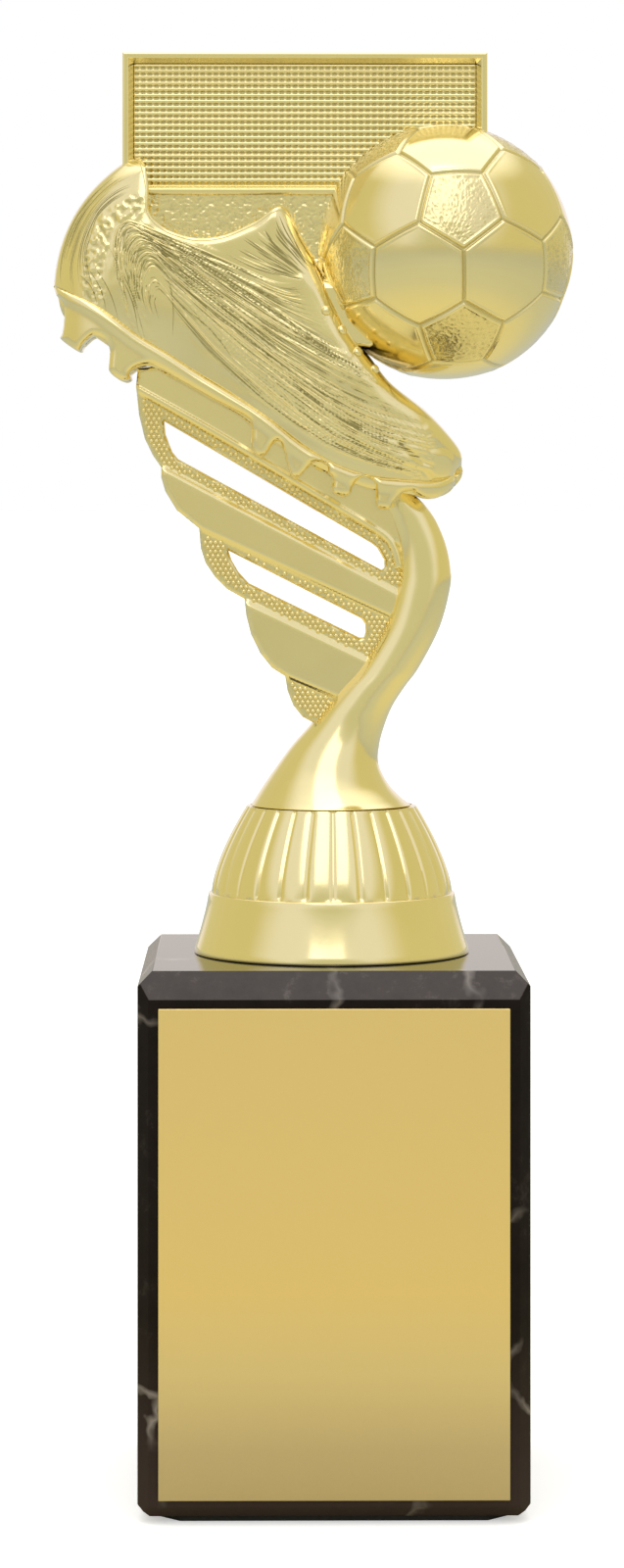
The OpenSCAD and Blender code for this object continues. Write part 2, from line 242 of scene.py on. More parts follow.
def relief(outline, holes, step, depth):
    """Points and faces of a two-sided panel: depth(points) gives its half thickness at x, z."""
    loops = [resample(loop, step) for loop in [outline] + list(holes)]

    def on_panel(points):
        keep = inside(points, loops[0])
        for loop in loops[1:]:
            keep &= ~inside(points, loop)
        return keep

    edge = np.vstack(loops)
    low, high = edge.min(0), edge.max(0)
    xs = np.arange(low[0], high[0], step)
    zs = np.arange(low[1], high[1], step * 0.866)
    grid = np.array([(x + (k % 2) * step / 2, z) for k, z in enumerate(zs) for x in xs])
    grid = grid[on_panel(grid)]
    near = np.min([distance(grid, loop) for loop in loops], axis=0)
    flat = np.vstack([edge, grid[near > step * 0.45]])
    edges = []
    for loop in loops:
        start, n = len(edges), len(loop)
        edges += [(start + k, start + (k + 1) % n) for k in range(n)]
    got = geometry.delaunay_2d_cdt([Vector(p) for p in flat], edges, [], 0, 1e-5)
    flat = np.array([tuple(v) for v in got[0]])
    tris = np.array([t for t in got[2] if len(t) == 3])
    tris = tris[on_panel(flat[tris].mean(1))]
    count = len(flat)
    front = np.column_stack([flat[:, 0], -depth(flat), flat[:, 1]])
    faces = tris.tolist() + (tris[:, ::-1] + count).tolist()
    sides = dict.fromkeys((t[k], t[k - 2]) for t in tris.tolist() for k in range(3))
    faces += [[b, a, a + count, b + count] for a, b in sides if (b, a) not in sides]
    return np.vstack([front, flipped(front)]), faces


# ---------------------------------------------------------------- materials

def new_material(name, inputs):
    """A material, its node tree and its shader with these values on its sockets."""
    material = bpy.data.materials.new(name)
    material.use_nodes = True
    tree = material.node_tree
    shader = tree.nodes["Principled BSDF"]
    for socket, value in inputs.items():
        shader.inputs[socket].default_value = value
    return material, tree, shader


def object_coords(tree):
    return tree.nodes.new("ShaderNodeTexCoord").outputs["Object"]


def object_noise(tree, scale, detail=2.0, roughness=0.5, output="Fac"):
    """A noise texture in metres of the object's own space."""
    noise = tree.nodes.new("ShaderNodeTexNoise")
    for socket, value in (("Scale", scale), ("Detail", detail), ("Roughness", roughness)):
        noise.inputs[socket].default_value = value
    tree.links.new(object_coords(tree), noise.inputs["Vector"])
    return noise.outputs[output]


def color_ramp(tree, source, stops):
    ramp = tree.nodes.new("ShaderNodeValToRGB")
    elements = ramp.color_ramp.elements
    while len(elements) < len(stops):
        elements.new(0.5)
    for element, (position, color) in zip(elements, stops):
        element.position = position
        element.color = (*color, 1)
    tree.links.new(source, ramp.inputs["Fac"])
    return ramp.outputs["Color"]


def value_range(tree, source, low, high, to_low, to_high):
    ranged = tree.nodes.new("ShaderNodeMapRange")
    limits = {"From Min": low, "From Max": high, "To Min": to_low, "To Max": to_high}
    for socket, value in limits.items():
        ranged.inputs[socket].default_value = value
    tree.links.new(source, ranged.inputs["Value"])
    return ranged.outputs["Result"]


def noise_range(tree, noise, to_low, to_high):
    """The usual span of a noise, spread over another one."""
    return value_range(tree, noise, 0.3, 0.7, to_low, to_high)


def height_range(tree, low, high, to_low, to_high):
    """A value that follows the height above the ground in metres."""
    split = tree.nodes.new("ShaderNodeSeparateXYZ")
    tree.links.new(object_coords(tree), split.inputs["Vector"])
    return value_range(tree, split.outputs["Z"], low, high, to_low, to_high)


def mix(tree, factor, below, above, blend="MIX"):
    """One colour over another, each a socket or an RGB. The factor is a socket or a number."""
    node = tree.nodes.new("ShaderNodeMixRGB")
    node.blend_type = blend
    for socket, value in (("Fac", factor), ("Color1", below), ("Color2", above)):
        if isinstance(value, bpy.types.NodeSocket):
            tree.links.new(value, node.inputs[socket])
        else:
            node.inputs[socket].default_value = (*value, 1) if isinstance(value, tuple) else value
    return node.outputs["Color"]


def calculate(tree, operation, *values):
    """A Math node of sockets and numbers."""
    node = tree.nodes.new("ShaderNodeMath")
    node.operation = operation
    for value, socket in zip(values, node.inputs):
        if isinstance(value, bpy.types.NodeSocket):
            tree.links.new(value, socket)
        else:
            socket.default_value = value
    return node.outputs["Value"]


def add_bump(tree, shader, source, strength, height):
    bump = tree.nodes.new("ShaderNodeBump")
    bump.inputs["Strength"].default_value = strength
    bump.inputs["Distance"].default_value = height
    tree.links.new(source, bump.inputs["Height"])
    tree.links.new(bump.outputs["Normal"], shader.inputs["Normal"])


GOLD_TONES = [(0.3, (0.955, 0.815, 0.40)), (0.7, (0.985, 0.845, 0.43))]
# Painted shade: the darker colour and extra roughness where the gold is shaded, in seams, pits, grooves,
# bark and dark strokes
PAINTED_SHADE_TONE = (0.40, 0.34, 0.10)
PAINTED_SHADE_ROUGHNESS = 0.5


def plated_gold():
    """Bright gold plating on moulded plastic, with painted shade: a little deeper and duller where a
    mesh marks its points as shaded.
    """
    material, tree, shader = new_material("plated_gold", {
        "Metallic": 1.0, "Coat Weight": 1.0, "Coat IOR": 1.7, "Coat Roughness": 0.08})
    # how much painted shade each point has, read from the mesh
    recess_node = tree.nodes.new("ShaderNodeAttribute")
    recess_node.attribute_name = "recess"
    recess = recess_node.outputs["Fac"]
    tone = color_ramp(tree, object_noise(tree, 60, 3), GOLD_TONES)
    tree.links.new(mix(tree, recess, tone, PAINTED_SHADE_TONE), shader.inputs["Base Color"])
    haze_and_painted_reflection = noise_range(tree, object_noise(tree, 220, 4), 0.13, 0.19)
    roughness = calculate(tree, "MULTIPLY_ADD", recess, PAINTED_SHADE_ROUGHNESS, haze_and_painted_reflection)
    tree.links.new(roughness, shader.inputs["Roughness"])
    add_bump(tree, shader, object_noise(tree, 900, 2), 0.05, 0.0001)
    return material


# Colour of the engraving plate by height, from its foot to its top: painted shade that darkens it
# towards the foot
PLATE_SHADE_TONES = [(0.0, (0.645, 0.53, 0.32)), (0.1, (0.69, 0.56, 0.34)), (0.26, (0.88, 0.71, 0.375)),
               (0.42, (0.985, 0.745, 0.325)), (1.0, (0.985, 0.745, 0.325))]


def satin_plate():
    """Anodised engraving plate: satin gold with painted shade that darkens it towards its foot."""
    material, tree, shader = new_material("satin_plate", {"Metallic": 1.0})
    height = height_range(tree, PLATE_LOW.z, PLATE_HIGH.z, 0, 1)
    tree.links.new(color_ramp(tree, height, PLATE_SHADE_TONES), shader.inputs["Base Color"])
    grain = object_noise(tree, 1500, 3)
    tree.links.new(noise_range(tree, grain, 0.36, 0.44), shader.inputs["Roughness"])
    add_bump(tree, shader, grain, 0.05, 0.00005)
    return material


MARBLE_TONES = [(0.3, (0.009, 0.006, 0.0052)), (0.6, (0.0145, 0.0102, 0.0092)),
                (0.8, (0.045, 0.037, 0.035))]
VEIN_TONE = (0.36, 0.32, 0.31)
# Colour and height in metres of the painted reflection of the floor, paler towards the foot of the block
FLOOR_REFLECTION_TONE = (0.075, 0.052, 0.05)
FLOOR_REFLECTION_HEIGHT = 0.034


def black_marble(name, roughness, specular, lift):
    """Near-black marble with sparse grey veins and a painted reflection of the floor towards its foot.
    lift is how many times paler its body is.
    """
    material, tree, shader = new_material(name, {"Roughness": roughness, "Specular IOR Level": specular})
    warp = object_noise(tree, 45, 4, 0.6, "Color")
    cracks = tree.nodes.new("ShaderNodeTexVoronoi")
    cracks.feature = "DISTANCE_TO_EDGE"
    cracks.inputs["Scale"].default_value = 34
    tree.links.new(mix(tree, 0.02, object_coords(tree), warp, "ADD"), cracks.inputs["Vector"])
    line = value_range(tree, cracks.outputs["Distance"], 0.0, 0.03, 1.0, 0.0)
    where = value_range(tree, object_noise(tree, 42, 2), 0.5, 0.66, 0.0, 0.8)
    body = color_ramp(tree, object_noise(tree, 180, 6, 0.7), [
        (position, tuple(lift * c for c in color)) for position, color in MARBLE_TONES])
    # painted reflection of the floor, fading out upwards from the foot of the block
    haze_and_painted_reflection = mix(tree, height_range(tree, 0.0, FLOOR_REFLECTION_HEIGHT, 0.6, 0.0), body, FLOOR_REFLECTION_TONE)
    veined = mix(tree, calculate(tree, "MULTIPLY", line, where), haze_and_painted_reflection, VEIN_TONE)
    tree.links.new(veined, shader.inputs["Base Color"])
    return material


def plain_material(name, low, high, roughness, metallic=0.0, scale=300, bump=0.1):
    """A mottled material for the hidden parts."""
    material, tree, shader = new_material(name, {"Metallic": metallic})
    noise = object_noise(tree, scale, 4)
    tree.links.new(color_ramp(tree, noise, [(0.3, low), (0.7, high)]), shader.inputs["Base Color"])
    mottled = noise_range(tree, noise, roughness - 0.08, roughness + 0.08)
    tree.links.new(mottled, shader.inputs["Roughness"])
    add_bump(tree, shader, noise, bump, 0.0002)
    return material


GOLD = plated_gold()
PLATE = satin_plate()
MARBLE = black_marble("black_marble", 0.06, 0.08, 1.0)
MARBLE_TOP = black_marble("black_marble_top", 0.02, 0.46, 1.0)
HONED = black_marble("honed_marble", 0.25, 0.4, 3.4)
STEEL = plain_material("zinc_steel", (0.52, 0.53, 0.55), (0.66, 0.67, 0.69), 0.3, 1.0)
FOAM = plain_material("foam_pad", (0.015, 0.015, 0.016), (0.035, 0.035, 0.036), 0.85, 0.0, 1200, 0.4)
TAPE = plain_material("white_tape", (0.72, 0.70, 0.62), (0.80, 0.78, 0.72), 0.7)
RAW_PLASTIC = plain_material("raw_plastic", (0.66, 0.66, 0.63), (0.74, 0.74, 0.71), 0.5)


# ---------------------------------------------------------------- marble block and plate

SIDE_BEVEL = 2.4 * MM
FRONT_BEVEL_DROP = 4.5 * MM
FRONT_BEVEL_IN = 2.7 * MM
UPRIGHT_BEVEL = 1.9 * MM
BOTTOM_BEVEL = 2.0 * MM
BLOCK_ROUNDING = 0.12 * MM
PLATE_ROUNDING = 0.14 * MM
# Faces smaller than this belong to the rounding and are shaded smooth
ROUNDING_AREA = 30 * MM ** 2


def box_between(low, high):
    """A box as a bmesh."""
    bm = bmesh.new()
    bmesh.ops.create_cube(bm, size=1)
    for v in bm.verts:
        v.co = (low + high) / 2 + v.co * (high - low)
    return bm


def rounded(name, bm, offset, segments):
    """The mesh of a bmesh, with every edge rounded."""
    bmesh.ops.bevel(bm, geom=bm.edges[:], offset=offset, segments=segments, profile=0.5, affect="EDGES")
    mesh = bpy.data.meshes.new(name)
    bm.to_mesh(mesh)
    bm.free()
    return mesh


def marble_block():
    """The block with its bevels and a fine polished rounding on every edge."""
    low, high = BLOCK_LOW, BLOCK_HIGH
    bm = box_between(low, high)
    middle, half = (low + high) / 2, (high - low) / 2
    cuts = []
    for s in (-1, 1):
        side, face = middle.x + s * half.x, middle.y + s * half.y
        cuts.append(((side, middle.y, high.z - SIDE_BEVEL), (s, 0, 1)))
        cuts.append(((middle.x, face, high.z - FRONT_BEVEL_DROP),
                     (0, s * FRONT_BEVEL_DROP, FRONT_BEVEL_IN)))
        cuts.append(((side, middle.y, low.z + BOTTOM_BEVEL), (s, 0, -1)))
        cuts.append(((middle.x, face, low.z + BOTTOM_BEVEL), (0, s, -1)))
        for q in (-1, 1):
            cuts.append(((side, middle.y + q * (half.y - UPRIGHT_BEVEL), 0), (s, q, 0)))
    for point, normal in cuts:
        cut = bmesh.ops.bisect_plane(bm, geom=bm.verts[:] + bm.edges[:] + bm.faces[:], plane_co=point,
                                     plane_no=normal, clear_outer=True)
        rim = [e for e in cut["geom_cut"] if isinstance(e, bmesh.types.BMEdge)]
        bmesh.ops.edgeloop_fill(bm, edges=rim)
    bmesh.ops.recalc_face_normals(bm, faces=bm.faces)
    mesh = rounded("marble_block", bm, BLOCK_ROUNDING, 2)
    mesh.polygons.foreach_set("use_smooth", [face.area < ROUNDING_AREA for face in mesh.polygons])
    for finish in (MARBLE, HONED, MARBLE_TOP):
        mesh.materials.append(finish)
    for face in mesh.polygons:
        face.material_index = 2 if face.normal.z > 0.95 else 1 if face.normal.z > 0.2 else 0
    return link_object("marble_block", mesh)


def engraving_plate():
    """A thin plate with eased edges."""
    mesh = rounded("gold_plate", box_between(PLATE_LOW, PLATE_HIGH), PLATE_ROUNDING, 3)
    mesh.materials.append(PLATE)
    return link_object("gold_plate", mesh)


stand_in(marble_block(), "marble", "marble_base")
stand_in(engraving_plate(), "plate", "engraving_plate")


# ---------------------------------------------------------------- riser

# Height of the plain band, and the radii of band, crown and top
BAND_H, BAND_R, CROWN_R, TOP_R = 10.4, 21.2, 20.7, 14.6
FLUTES = 28
POINTS_PER_FLUTE = 18
FLUTE_DEPTH = 0.42
LEAN_SEED = 8
LOBE_LEAN = 0.3


def fluted_riser():
    """A plain tapered band under a domed crown with upright lobes and narrow grooves."""
    _, _, foot_z = in_figure(RISER_LOW)
    foot_r, _, top_z = in_figure(RISER_HIGH)
    height = top_z - foot_z
    count = FLUTES * POINTS_PER_FLUTE
    around = np.arange(count) / count
    angle = around * 2 * math.pi
    phase = (around * FLUTES) % 1
    groove = np.minimum(phase, 1 - phase)
    lobe = 0.55 * ease(0.0, 0.13, groove) + 0.45 * (1 - (1 - 2 * groove) ** 2)
    # every lobe leans a little to one side, as on a worn mould
    leans = np.random.RandomState(LEAN_SEED).uniform(-LOBE_LEAN, LOBE_LEAN, FLUTES)
    lean = leans[(around * FLUTES).astype(int)] * (phase - 0.5) * (1 - (2 * phase - 1) ** 4)
    # radius, height and share of the flutes' depth, row by row from the foot
    rows = [(foot_r - 0.35, 0.0, 0), (foot_r - 0.08, 0.12, 0), (foot_r, 0.4, 0)]
    for k in range(1, 11):
        t = k / 10
        rows.append((foot_r + (BAND_R - foot_r) * (1 - (1 - t) ** 1.25), 0.4 + (BAND_H - 0.7) * t, 0))
    rows += [(BAND_R - 0.08, BAND_H - 0.1, 0), (BAND_R - 0.25, BAND_H, 0),
             (CROWN_R - 0.05, BAND_H + 0.02, 0)]
    for k in range(49):
        t = k / 48
        cut = ease(0, 0.03, t) * (1 - ease(0.975, 1, t))
        z = BAND_H + 0.05 + (height - BAND_H - 0.05) * t
        rows.append((CROWN_R - (CROWN_R - TOP_R) * t ** 1.5, z, cut))
    rows.append((TOP_R - 0.5, height, 0))
    rings = []
    for r, z, cut in rows:
        radius = r - cut * (FLUTE_DEPTH * (1 - lobe) - lean)
        rings.append(np.column_stack([radius * np.cos(angle), radius * np.sin(angle),
                                      np.full(count, z + foot_z)]))
    return loft(np.array(rings))


gold_piece("fluted_riser", *fluted_riser(), "riser", 50)


# ---------------------------------------------------------------- stem

# Level slices of the stem from its round foot to where it tucks in under the toe:
# height, left edge, right edge and half depth
STEM_SLICES = [
    (0, -13.9, 13.8, 13.85), (1.2, -13.2, 12.2, 12.8), (3.7, -11.6, 9.8, 10.9), (7.1, -9.25, 8.1, 8.7),
    (10.4, -6.8, 8.2, 7.2), (13.8, -3.8, 9.1, 6.4), (17.2, -1.1, 10.5, 6.1), (20.6, 1.8, 12.7, 5.9),
    (23.9, 4.7, 15.1, 5.7), (30.7, 8.8, 18.6, 5.3), (37.4, 10.9, 20.4, 4.9), (41, 11.3, 20.5, 4.6),
    (45, 11, 19.7, 4.3), (48.7, 9.8, 18.2, 4), (51, 8.8, 16.7, 3.8), (53, 7.6, 14.8, 3.5),
    (55, 6.5, 12.5, 3)
]
FOOT_CHAMFER = 0.25


def stem_half():
    """The front half of the horn, lofted from its foot up."""
    slices = smooth_line(STEM_SLICES, 10)
    angle = np.linspace(0, math.pi, 57)
    rings = []
    for z, left, right, deep in slices:
        middle, wide = (left + right) / 2, (right - left) / 2
        squareness = 1 - 0.16 * ease(4, 22, z)
        across = np.sign(np.cos(angle)) * np.abs(np.cos(angle)) ** squareness
        rings.append(np.column_stack([middle + wide * across, -deep * np.sin(angle) ** squareness,
                                      np.full(len(angle), z)]))
    foot = rings[0] * (1, 1, 0) * (1 - FOOT_CHAMFER / slices[0, 3])
    rings[0] = rings[0] + (0, 0, FOOT_CHAMFER)
    return loft(np.array([foot] + rings))


both_sides("horn_{}", *stem_half(), "stem_{}", sharp_angle=60)


# ---------------------------------------------------------------- wing panel

WING_OUTLINE = [
    (-33.3, 75.1), (-33.6, 72.1), (-33.1, 67.2), (-32.1, 63.1), (-30.7, 60.2), (-29.3, 58.2),
    (-29.3, 56.5), (-28.6, 54.1), (-26.6, 50.8), (-22.8, 47.7), (-22.5, 44.3), (-21.7, 41.8),
    (-20.1, 39.4), (-18, 37.3), (-15, 35.6), (-14.7, 32.8), (-13.9, 29.6), (-12.3, 26.3),
    (-10.3, 23.8), (-8, 22.3), (-7.6, 19.8), (-6.6, 17.3), (-5, 15.3), (-2.7, 14.1), (2.6, 17),
    (8, 24.6), (11.4, 29.6), (12.8, 33.4), (13.8, 37.6), (13.9, 40.6), (13.4, 44.3), (13, 49),
    (13, 53.4), (10, 54), (6, 55.2), (2, 56.4), (-2, 58.2), (-6, 60.6), (-11.3, 64), (-15.3, 67.3),
    (-25.2, 73), (-30, 75.5)
]
SLOT_UPPER = [
    (-28.8, 66.1), (-28.6, 63.9), (-27.4, 60.8), (-26.4, 59.6), (8.6, 40.55), (9.1, 41), (9.1, 42.2),
    (7.9, 44.3), (6.9, 45.1)
]
SLOT_LOWER = [
    (-17.8, 43.9), (-17.2, 42.2), (-16, 40.2), (-14.3, 38.3), (4.8, 28.9), (5.6, 29), (5.9, 29.9),
    (5.8, 31.2), (5.1, 32.2)
]
BLADE_UPPER = [
    (-29.4, 58.55), (-29.4, 56.5), (-28.7, 54), (-26.7, 50.7), (-22.9, 47.6), (10.4, 32.2),
    (11.9, 34.6), (11.6, 36.8)
]
BLADE_LOWER = [
    (-15.2, 35.6), (-14.8, 32.8), (-14, 29.5), (-12.4, 26.2), (-10.4, 23.7), (-8, 22.2), (3, 17.6),
    (8.4, 24.3)
]
STRIP = [
    (-33.8, 72), (9.8, 46), (11.6, 44.6), (12.8, 42), (14.5, 42), (14.5, 60), (-30, 80), (-34, 78)
]
RIM_LINE = smooth_line([(-34.2, 72.2), (-20, 64.2), (-5, 55.1), (6, 48.5), (9.4, 46.2), (10.9, 43.9),
                        (11.6, 41.3)], 6)
SLOTS = (SLOT_UPPER, SLOT_LOWER)
BAND_HALF = 2.3
BLADE_RISE = 0.6
STRIP_RISE = 0.55
RIM_RISE = 0.8
RIM_HALF_W = 0.75


def wing_depth(points):
    """Half thickness of the wing: bands, blades and strip above them, and a rim along the strip."""
    edge = np.min([distance(points, loop) for loop in (WING_OUTLINE, *SLOTS)], axis=0)
    half = np.full(len(points), BAND_HALF)
    for blade in (BLADE_UPPER, BLADE_LOWER):
        half += BLADE_RISE * ease(-0.45, 0.7, signed_distance(points, blade))
    half += STRIP_RISE * ease(-0.5, 0.6, signed_distance(points, STRIP))
    bead = np.sqrt(np.clip(1 - (distance(points, RIM_LINE, closed=False) / RIM_HALF_W) ** 2, 0, 1))
    half = np.maximum(half, BAND_HALF + RIM_RISE * bead)
    return half - fillet(edge, 0.55)


wing_verts, wing_faces = relief(WING_OUTLINE, SLOTS, 0.36, wing_depth)
# the beaded bands get painted shade between their beads, the blades and edges don't
wing_y = np.abs(wing_verts[:, 1])
wing_shade = 0.2 * ((wing_y < BAND_HALF + 0.05) & (wing_y > BAND_HALF - 0.12))
gold_piece("wing_blades", wing_verts, wing_faces, "wing_panel", 40, wing_shade)


def dome_field(centres, radius, height, y):
    """Little domes of the same size at x z centres, standing on the plane at y on the front."""
    around, levels = 10, 3
    angle = np.arange(around) / around * 2 * math.pi
    lift = np.arange(levels) / levels * math.pi / 2 * 0.92
    unit = [(radius * math.cos(k) * math.cos(a), -height * math.sin(k),
             radius * math.cos(k) * math.sin(a)) for k in lift for a in angle]
    unit = np.array(unit + [(0, -height, 0)])
    tip = levels * around
    faces = grid_quads(levels, around, True)
    faces += [[tip - around + j, tip - around + (j + 1) % around, tip] for j in range(around)]
    faces.append(list(range(around - 1, -1, -1)))
    return join([(unit + (x, -y, z), faces) for x, z in centres])


BEAD_PITCH, BEAD_ROW = 0.88, 0.76
BEAD_SIZE = 0.42


def bead_centres():
    """Hexagonally packed bead centres on the knurled bands."""
    low, high = np.min(WING_OUTLINE, 0), np.max(WING_OUTLINE, 0)
    grid = np.array([
        (low[0] + (i + 0.5 * (k % 2)) * BEAD_PITCH, low[1] + k * BEAD_ROW)
        for k in range(int((high[1] - low[1]) / BEAD_ROW))
        for i in range(int((high[0] - low[0]) / BEAD_PITCH))
    ])
    keep = signed_distance(grid, WING_OUTLINE) > 0.75
    for slot in SLOTS:
        keep &= signed_distance(grid, slot) < -0.62
    for blade in (BLADE_UPPER, BLADE_LOWER, STRIP):
        keep &= signed_distance(grid, blade) < -0.5
    keep &= distance(grid, RIM_LINE, closed=False) > RIM_HALF_W + 0.3
    return grid[keep]


both_sides("wing_beads_{}", *dome_field(bead_centres(), BEAD_SIZE, BEAD_SIZE, BAND_HALF - 0.03))


# ---------------------------------------------------------------- goal

GOAL_LEFT, _, GOAL_FOOT = in_figure(GOAL_LOW)
GOAL_RIGHT, GOAL_HALF, GOAL_TOP = in_figure(GOAL_HIGH)
BAR = 1.8
# Section of a bar: how far in from the outline, and how far down from the front face
BAR_SECTION = [(0, 0.3), (0.12, 0.08), (0.3, 0), (0.85, 0), (0.98, 0.05), (BAR - 0.1, 0.95), (BAR, 1.1)]


def goal_frame():
    """Four mitred bars with the same section at the front and the back."""
    section = [(inset, GOAL_HALF - down) for inset, down in BAR_SECTION]
    section += [(inset, -y) for inset, y in section[::-1]]
    rings = np.array([[(GOAL_LEFT + k, -y, GOAL_FOOT + k), (GOAL_RIGHT - k, -y, GOAL_FOOT + k),
                       (GOAL_RIGHT - k, -y, GOAL_TOP - k), (GOAL_LEFT + k, -y, GOAL_TOP - k)]
                      for k, y in section])
    rows = len(rings)
    faces = grid_quads(rows, 4, True)
    faces += [[(rows - 1) * 4 + j, (rows - 1) * 4 + (j + 1) % 4, (j + 1) % 4, j] for j in range(4)]
    return rings.reshape(-1, 3), faces


gold_piece("goal_posts", *goal_frame(), "goal_frame", 15)

NET_COLUMNS, NET_ROWS = 52, 20
POINTS_PER_COLUMN, POINTS_PER_ROW = 6, 9
# Half thickness of the net in its pits, and how far its level and upright bars rise from there
NET_HALF = 1.2
LEVEL_RISE, UPRIGHT_RISE = 0.5, 0.26


def goal_net_half():
    """One face of the net: rows of square pits between raised level bars and lower upright ones."""
    left, right, low, high = GOAL_LEFT + BAR, GOAL_RIGHT - BAR, GOAL_FOOT + BAR, GOAL_TOP - BAR
    gx, gz = np.meshgrid(np.linspace(left, right, NET_COLUMNS * POINTS_PER_COLUMN + 1),
                         np.linspace(low, high, NET_ROWS * POINTS_PER_ROW + 1))
    u = (gx - left) / (right - left) * NET_COLUMNS
    v = (gz - low) / (high - low) * NET_ROWS % 1
    upright = 1 - ease(0.14, 0.26, np.abs(u - np.round(u)))
    level = ease(0, 0.12, v - 0.36 + 0.08 * upright) * (1 - ease(0.9, 1.0, v))
    pit = (1 - level) * (1 - upright)
    border = np.minimum(np.minimum(gx - left, right - gx), np.minimum(gz - low, high - gz))
    half = NET_HALF + (LEVEL_RISE * level + UPRIGHT_RISE * upright * (1 - level)) * ease(0, 0.25, border)
    rows, cols = gx.shape
    index = np.arange(rows * cols).reshape(rows, cols)
    rim = np.concatenate([index[0], index[1:, -1], index[-1, -2::-1], index[-2:0:-1, 0]])
    points = np.stack([gx, -half, gz], -1).reshape(-1, 3)
    faces = grid_quads(rows, cols, False)
    back = rows * cols + np.arange(len(rim))
    faces += np.stack([rim, np.roll(rim, -1), np.roll(back, -1), back], 1).tolist()
    faces.append(back.tolist())
    # painted shade in the pits between the bars
    recess = np.concatenate([0.45 * pit.ravel(), np.zeros(len(rim))])
    return np.vstack([points, points[rim] * (1, 0, 1)]), faces, recess


# The front face and its mirror image are two closed sheets back to back
net_verts, net_faces, net_recess = goal_net_half()
gold_piece("goal_net_front", net_verts, net_faces, "goal_net", 80, net_recess)
gold_piece("goal_net_back", flipped(net_verts), net_faces, "", 80, net_recess)

BACKING = [
    (-32.6, 105.2), (-32.6, 101.5), (-28.4, 97), (-24.6, 95.5), (-21.3, 95), (-18, 95.4), (-14.9, 97),
    (-11.7, 99), (-9, 101), (-7, 98), (-5, 94), (-2, 88), (4, 84), (14, 95), (14, 105.2)
]


def backing_grain(points):
    return hammered(points, 0.5, 5)


back_verts, back_faces = relief(BACKING, [], 0.2, lambda points: 1.6 + 0.07 * backing_grain(points))
# painted shade in the low spots of the stipple
back_recess = 0.3 * (1 - ease(-0.6, 0.2, backing_grain(back_verts[:, [0, 2]])))
gold_piece("stippled_backing", back_verts, back_faces, "backing_plate", recess=back_recess)


# ---------------------------------------------------------------- ball

BALL_CENTRE = in_figure((BALL_LOW + BALL_HIGH) / 2) * (1, 0, 1)
BALL_R = (BALL_HIGH.x - BALL_LOW.x) / MM / 2
# The web that joins the ball to the lacing of the boot, as x z
BALL_WEB = [
    (-5.2, 93), (-4.2, 95.4), (-1.4, 96.4), (1.6, 91.5), (3.8, 86.3), (6.2, 82.1), (8, 79.6),
    (6.4, 78.7), (4.2, 79), (1.2, 80.8), (-2, 85), (-4.4, 90)
]


WEB_HALF, WEB_TOP_HALF = 8.0, 1.4


def web_depth(points):
    """Half thickness of the web, which thins towards the backing plate above it."""
    half = WEB_TOP_HALF + (WEB_HALF - WEB_TOP_HALF) * (1 - ease(88.6, 94.6, points[:, 1]))
    return half - fillet(distance(points, BALL_WEB), 0.4)


gold_piece("ball_web", *relief(BALL_WEB, [], 0.3, web_depth))

# Directions of two neighbouring pentagons, which set how the ball is turned
PENTAGON_A = (0.086, -0.947, 0.310)
PENTAGON_B = (0.102, -0.675, -0.730)
# Distance of the flat pentagons and hexagons of such a ball from its centre, on a ball of radius 1
PENTAGON_AWAY, HEXAGON_AWAY = 0.9392, 0.9149
PANEL_FLATNESS = 0.12
SEAM_DEPTH = 0.3
PEBBLE_DEPTH = 0.07


def panel_centres():
    """Unit directions of the ball's 12 pentagons and 20 hexagons."""
    a = np.array(PENTAGON_A) / np.linalg.norm(PENTAGON_A)
    b = np.array(PENTAGON_B)
    e1 = b - (b @ a) * a
    e1 /= np.linalg.norm(e1)
    e2 = np.cross(a, e1)
    tilt = math.atan(2)
    five = [math.cos(tilt) * a + math.sin(tilt) * (math.cos(k * 2 * math.pi / 5) * e1
            + math.sin(k * 2 * math.pi / 5) * e2) for k in range(5)]
    pentagons = np.array([a, -a] + five + [-v for v in five])
    hexagons = []
    for i in range(12):
        for j in range(i):
            for k in range(j):
                trio = pentagons[[i, j, k]]
                if min(trio[0] @ trio[1], trio[1] @ trio[2], trio[0] @ trio[2]) > 0.4:
                    centre = trio.sum(0)
                    hexagons.append(centre / np.linalg.norm(centre))
    return pentagons, np.array(hexagons)


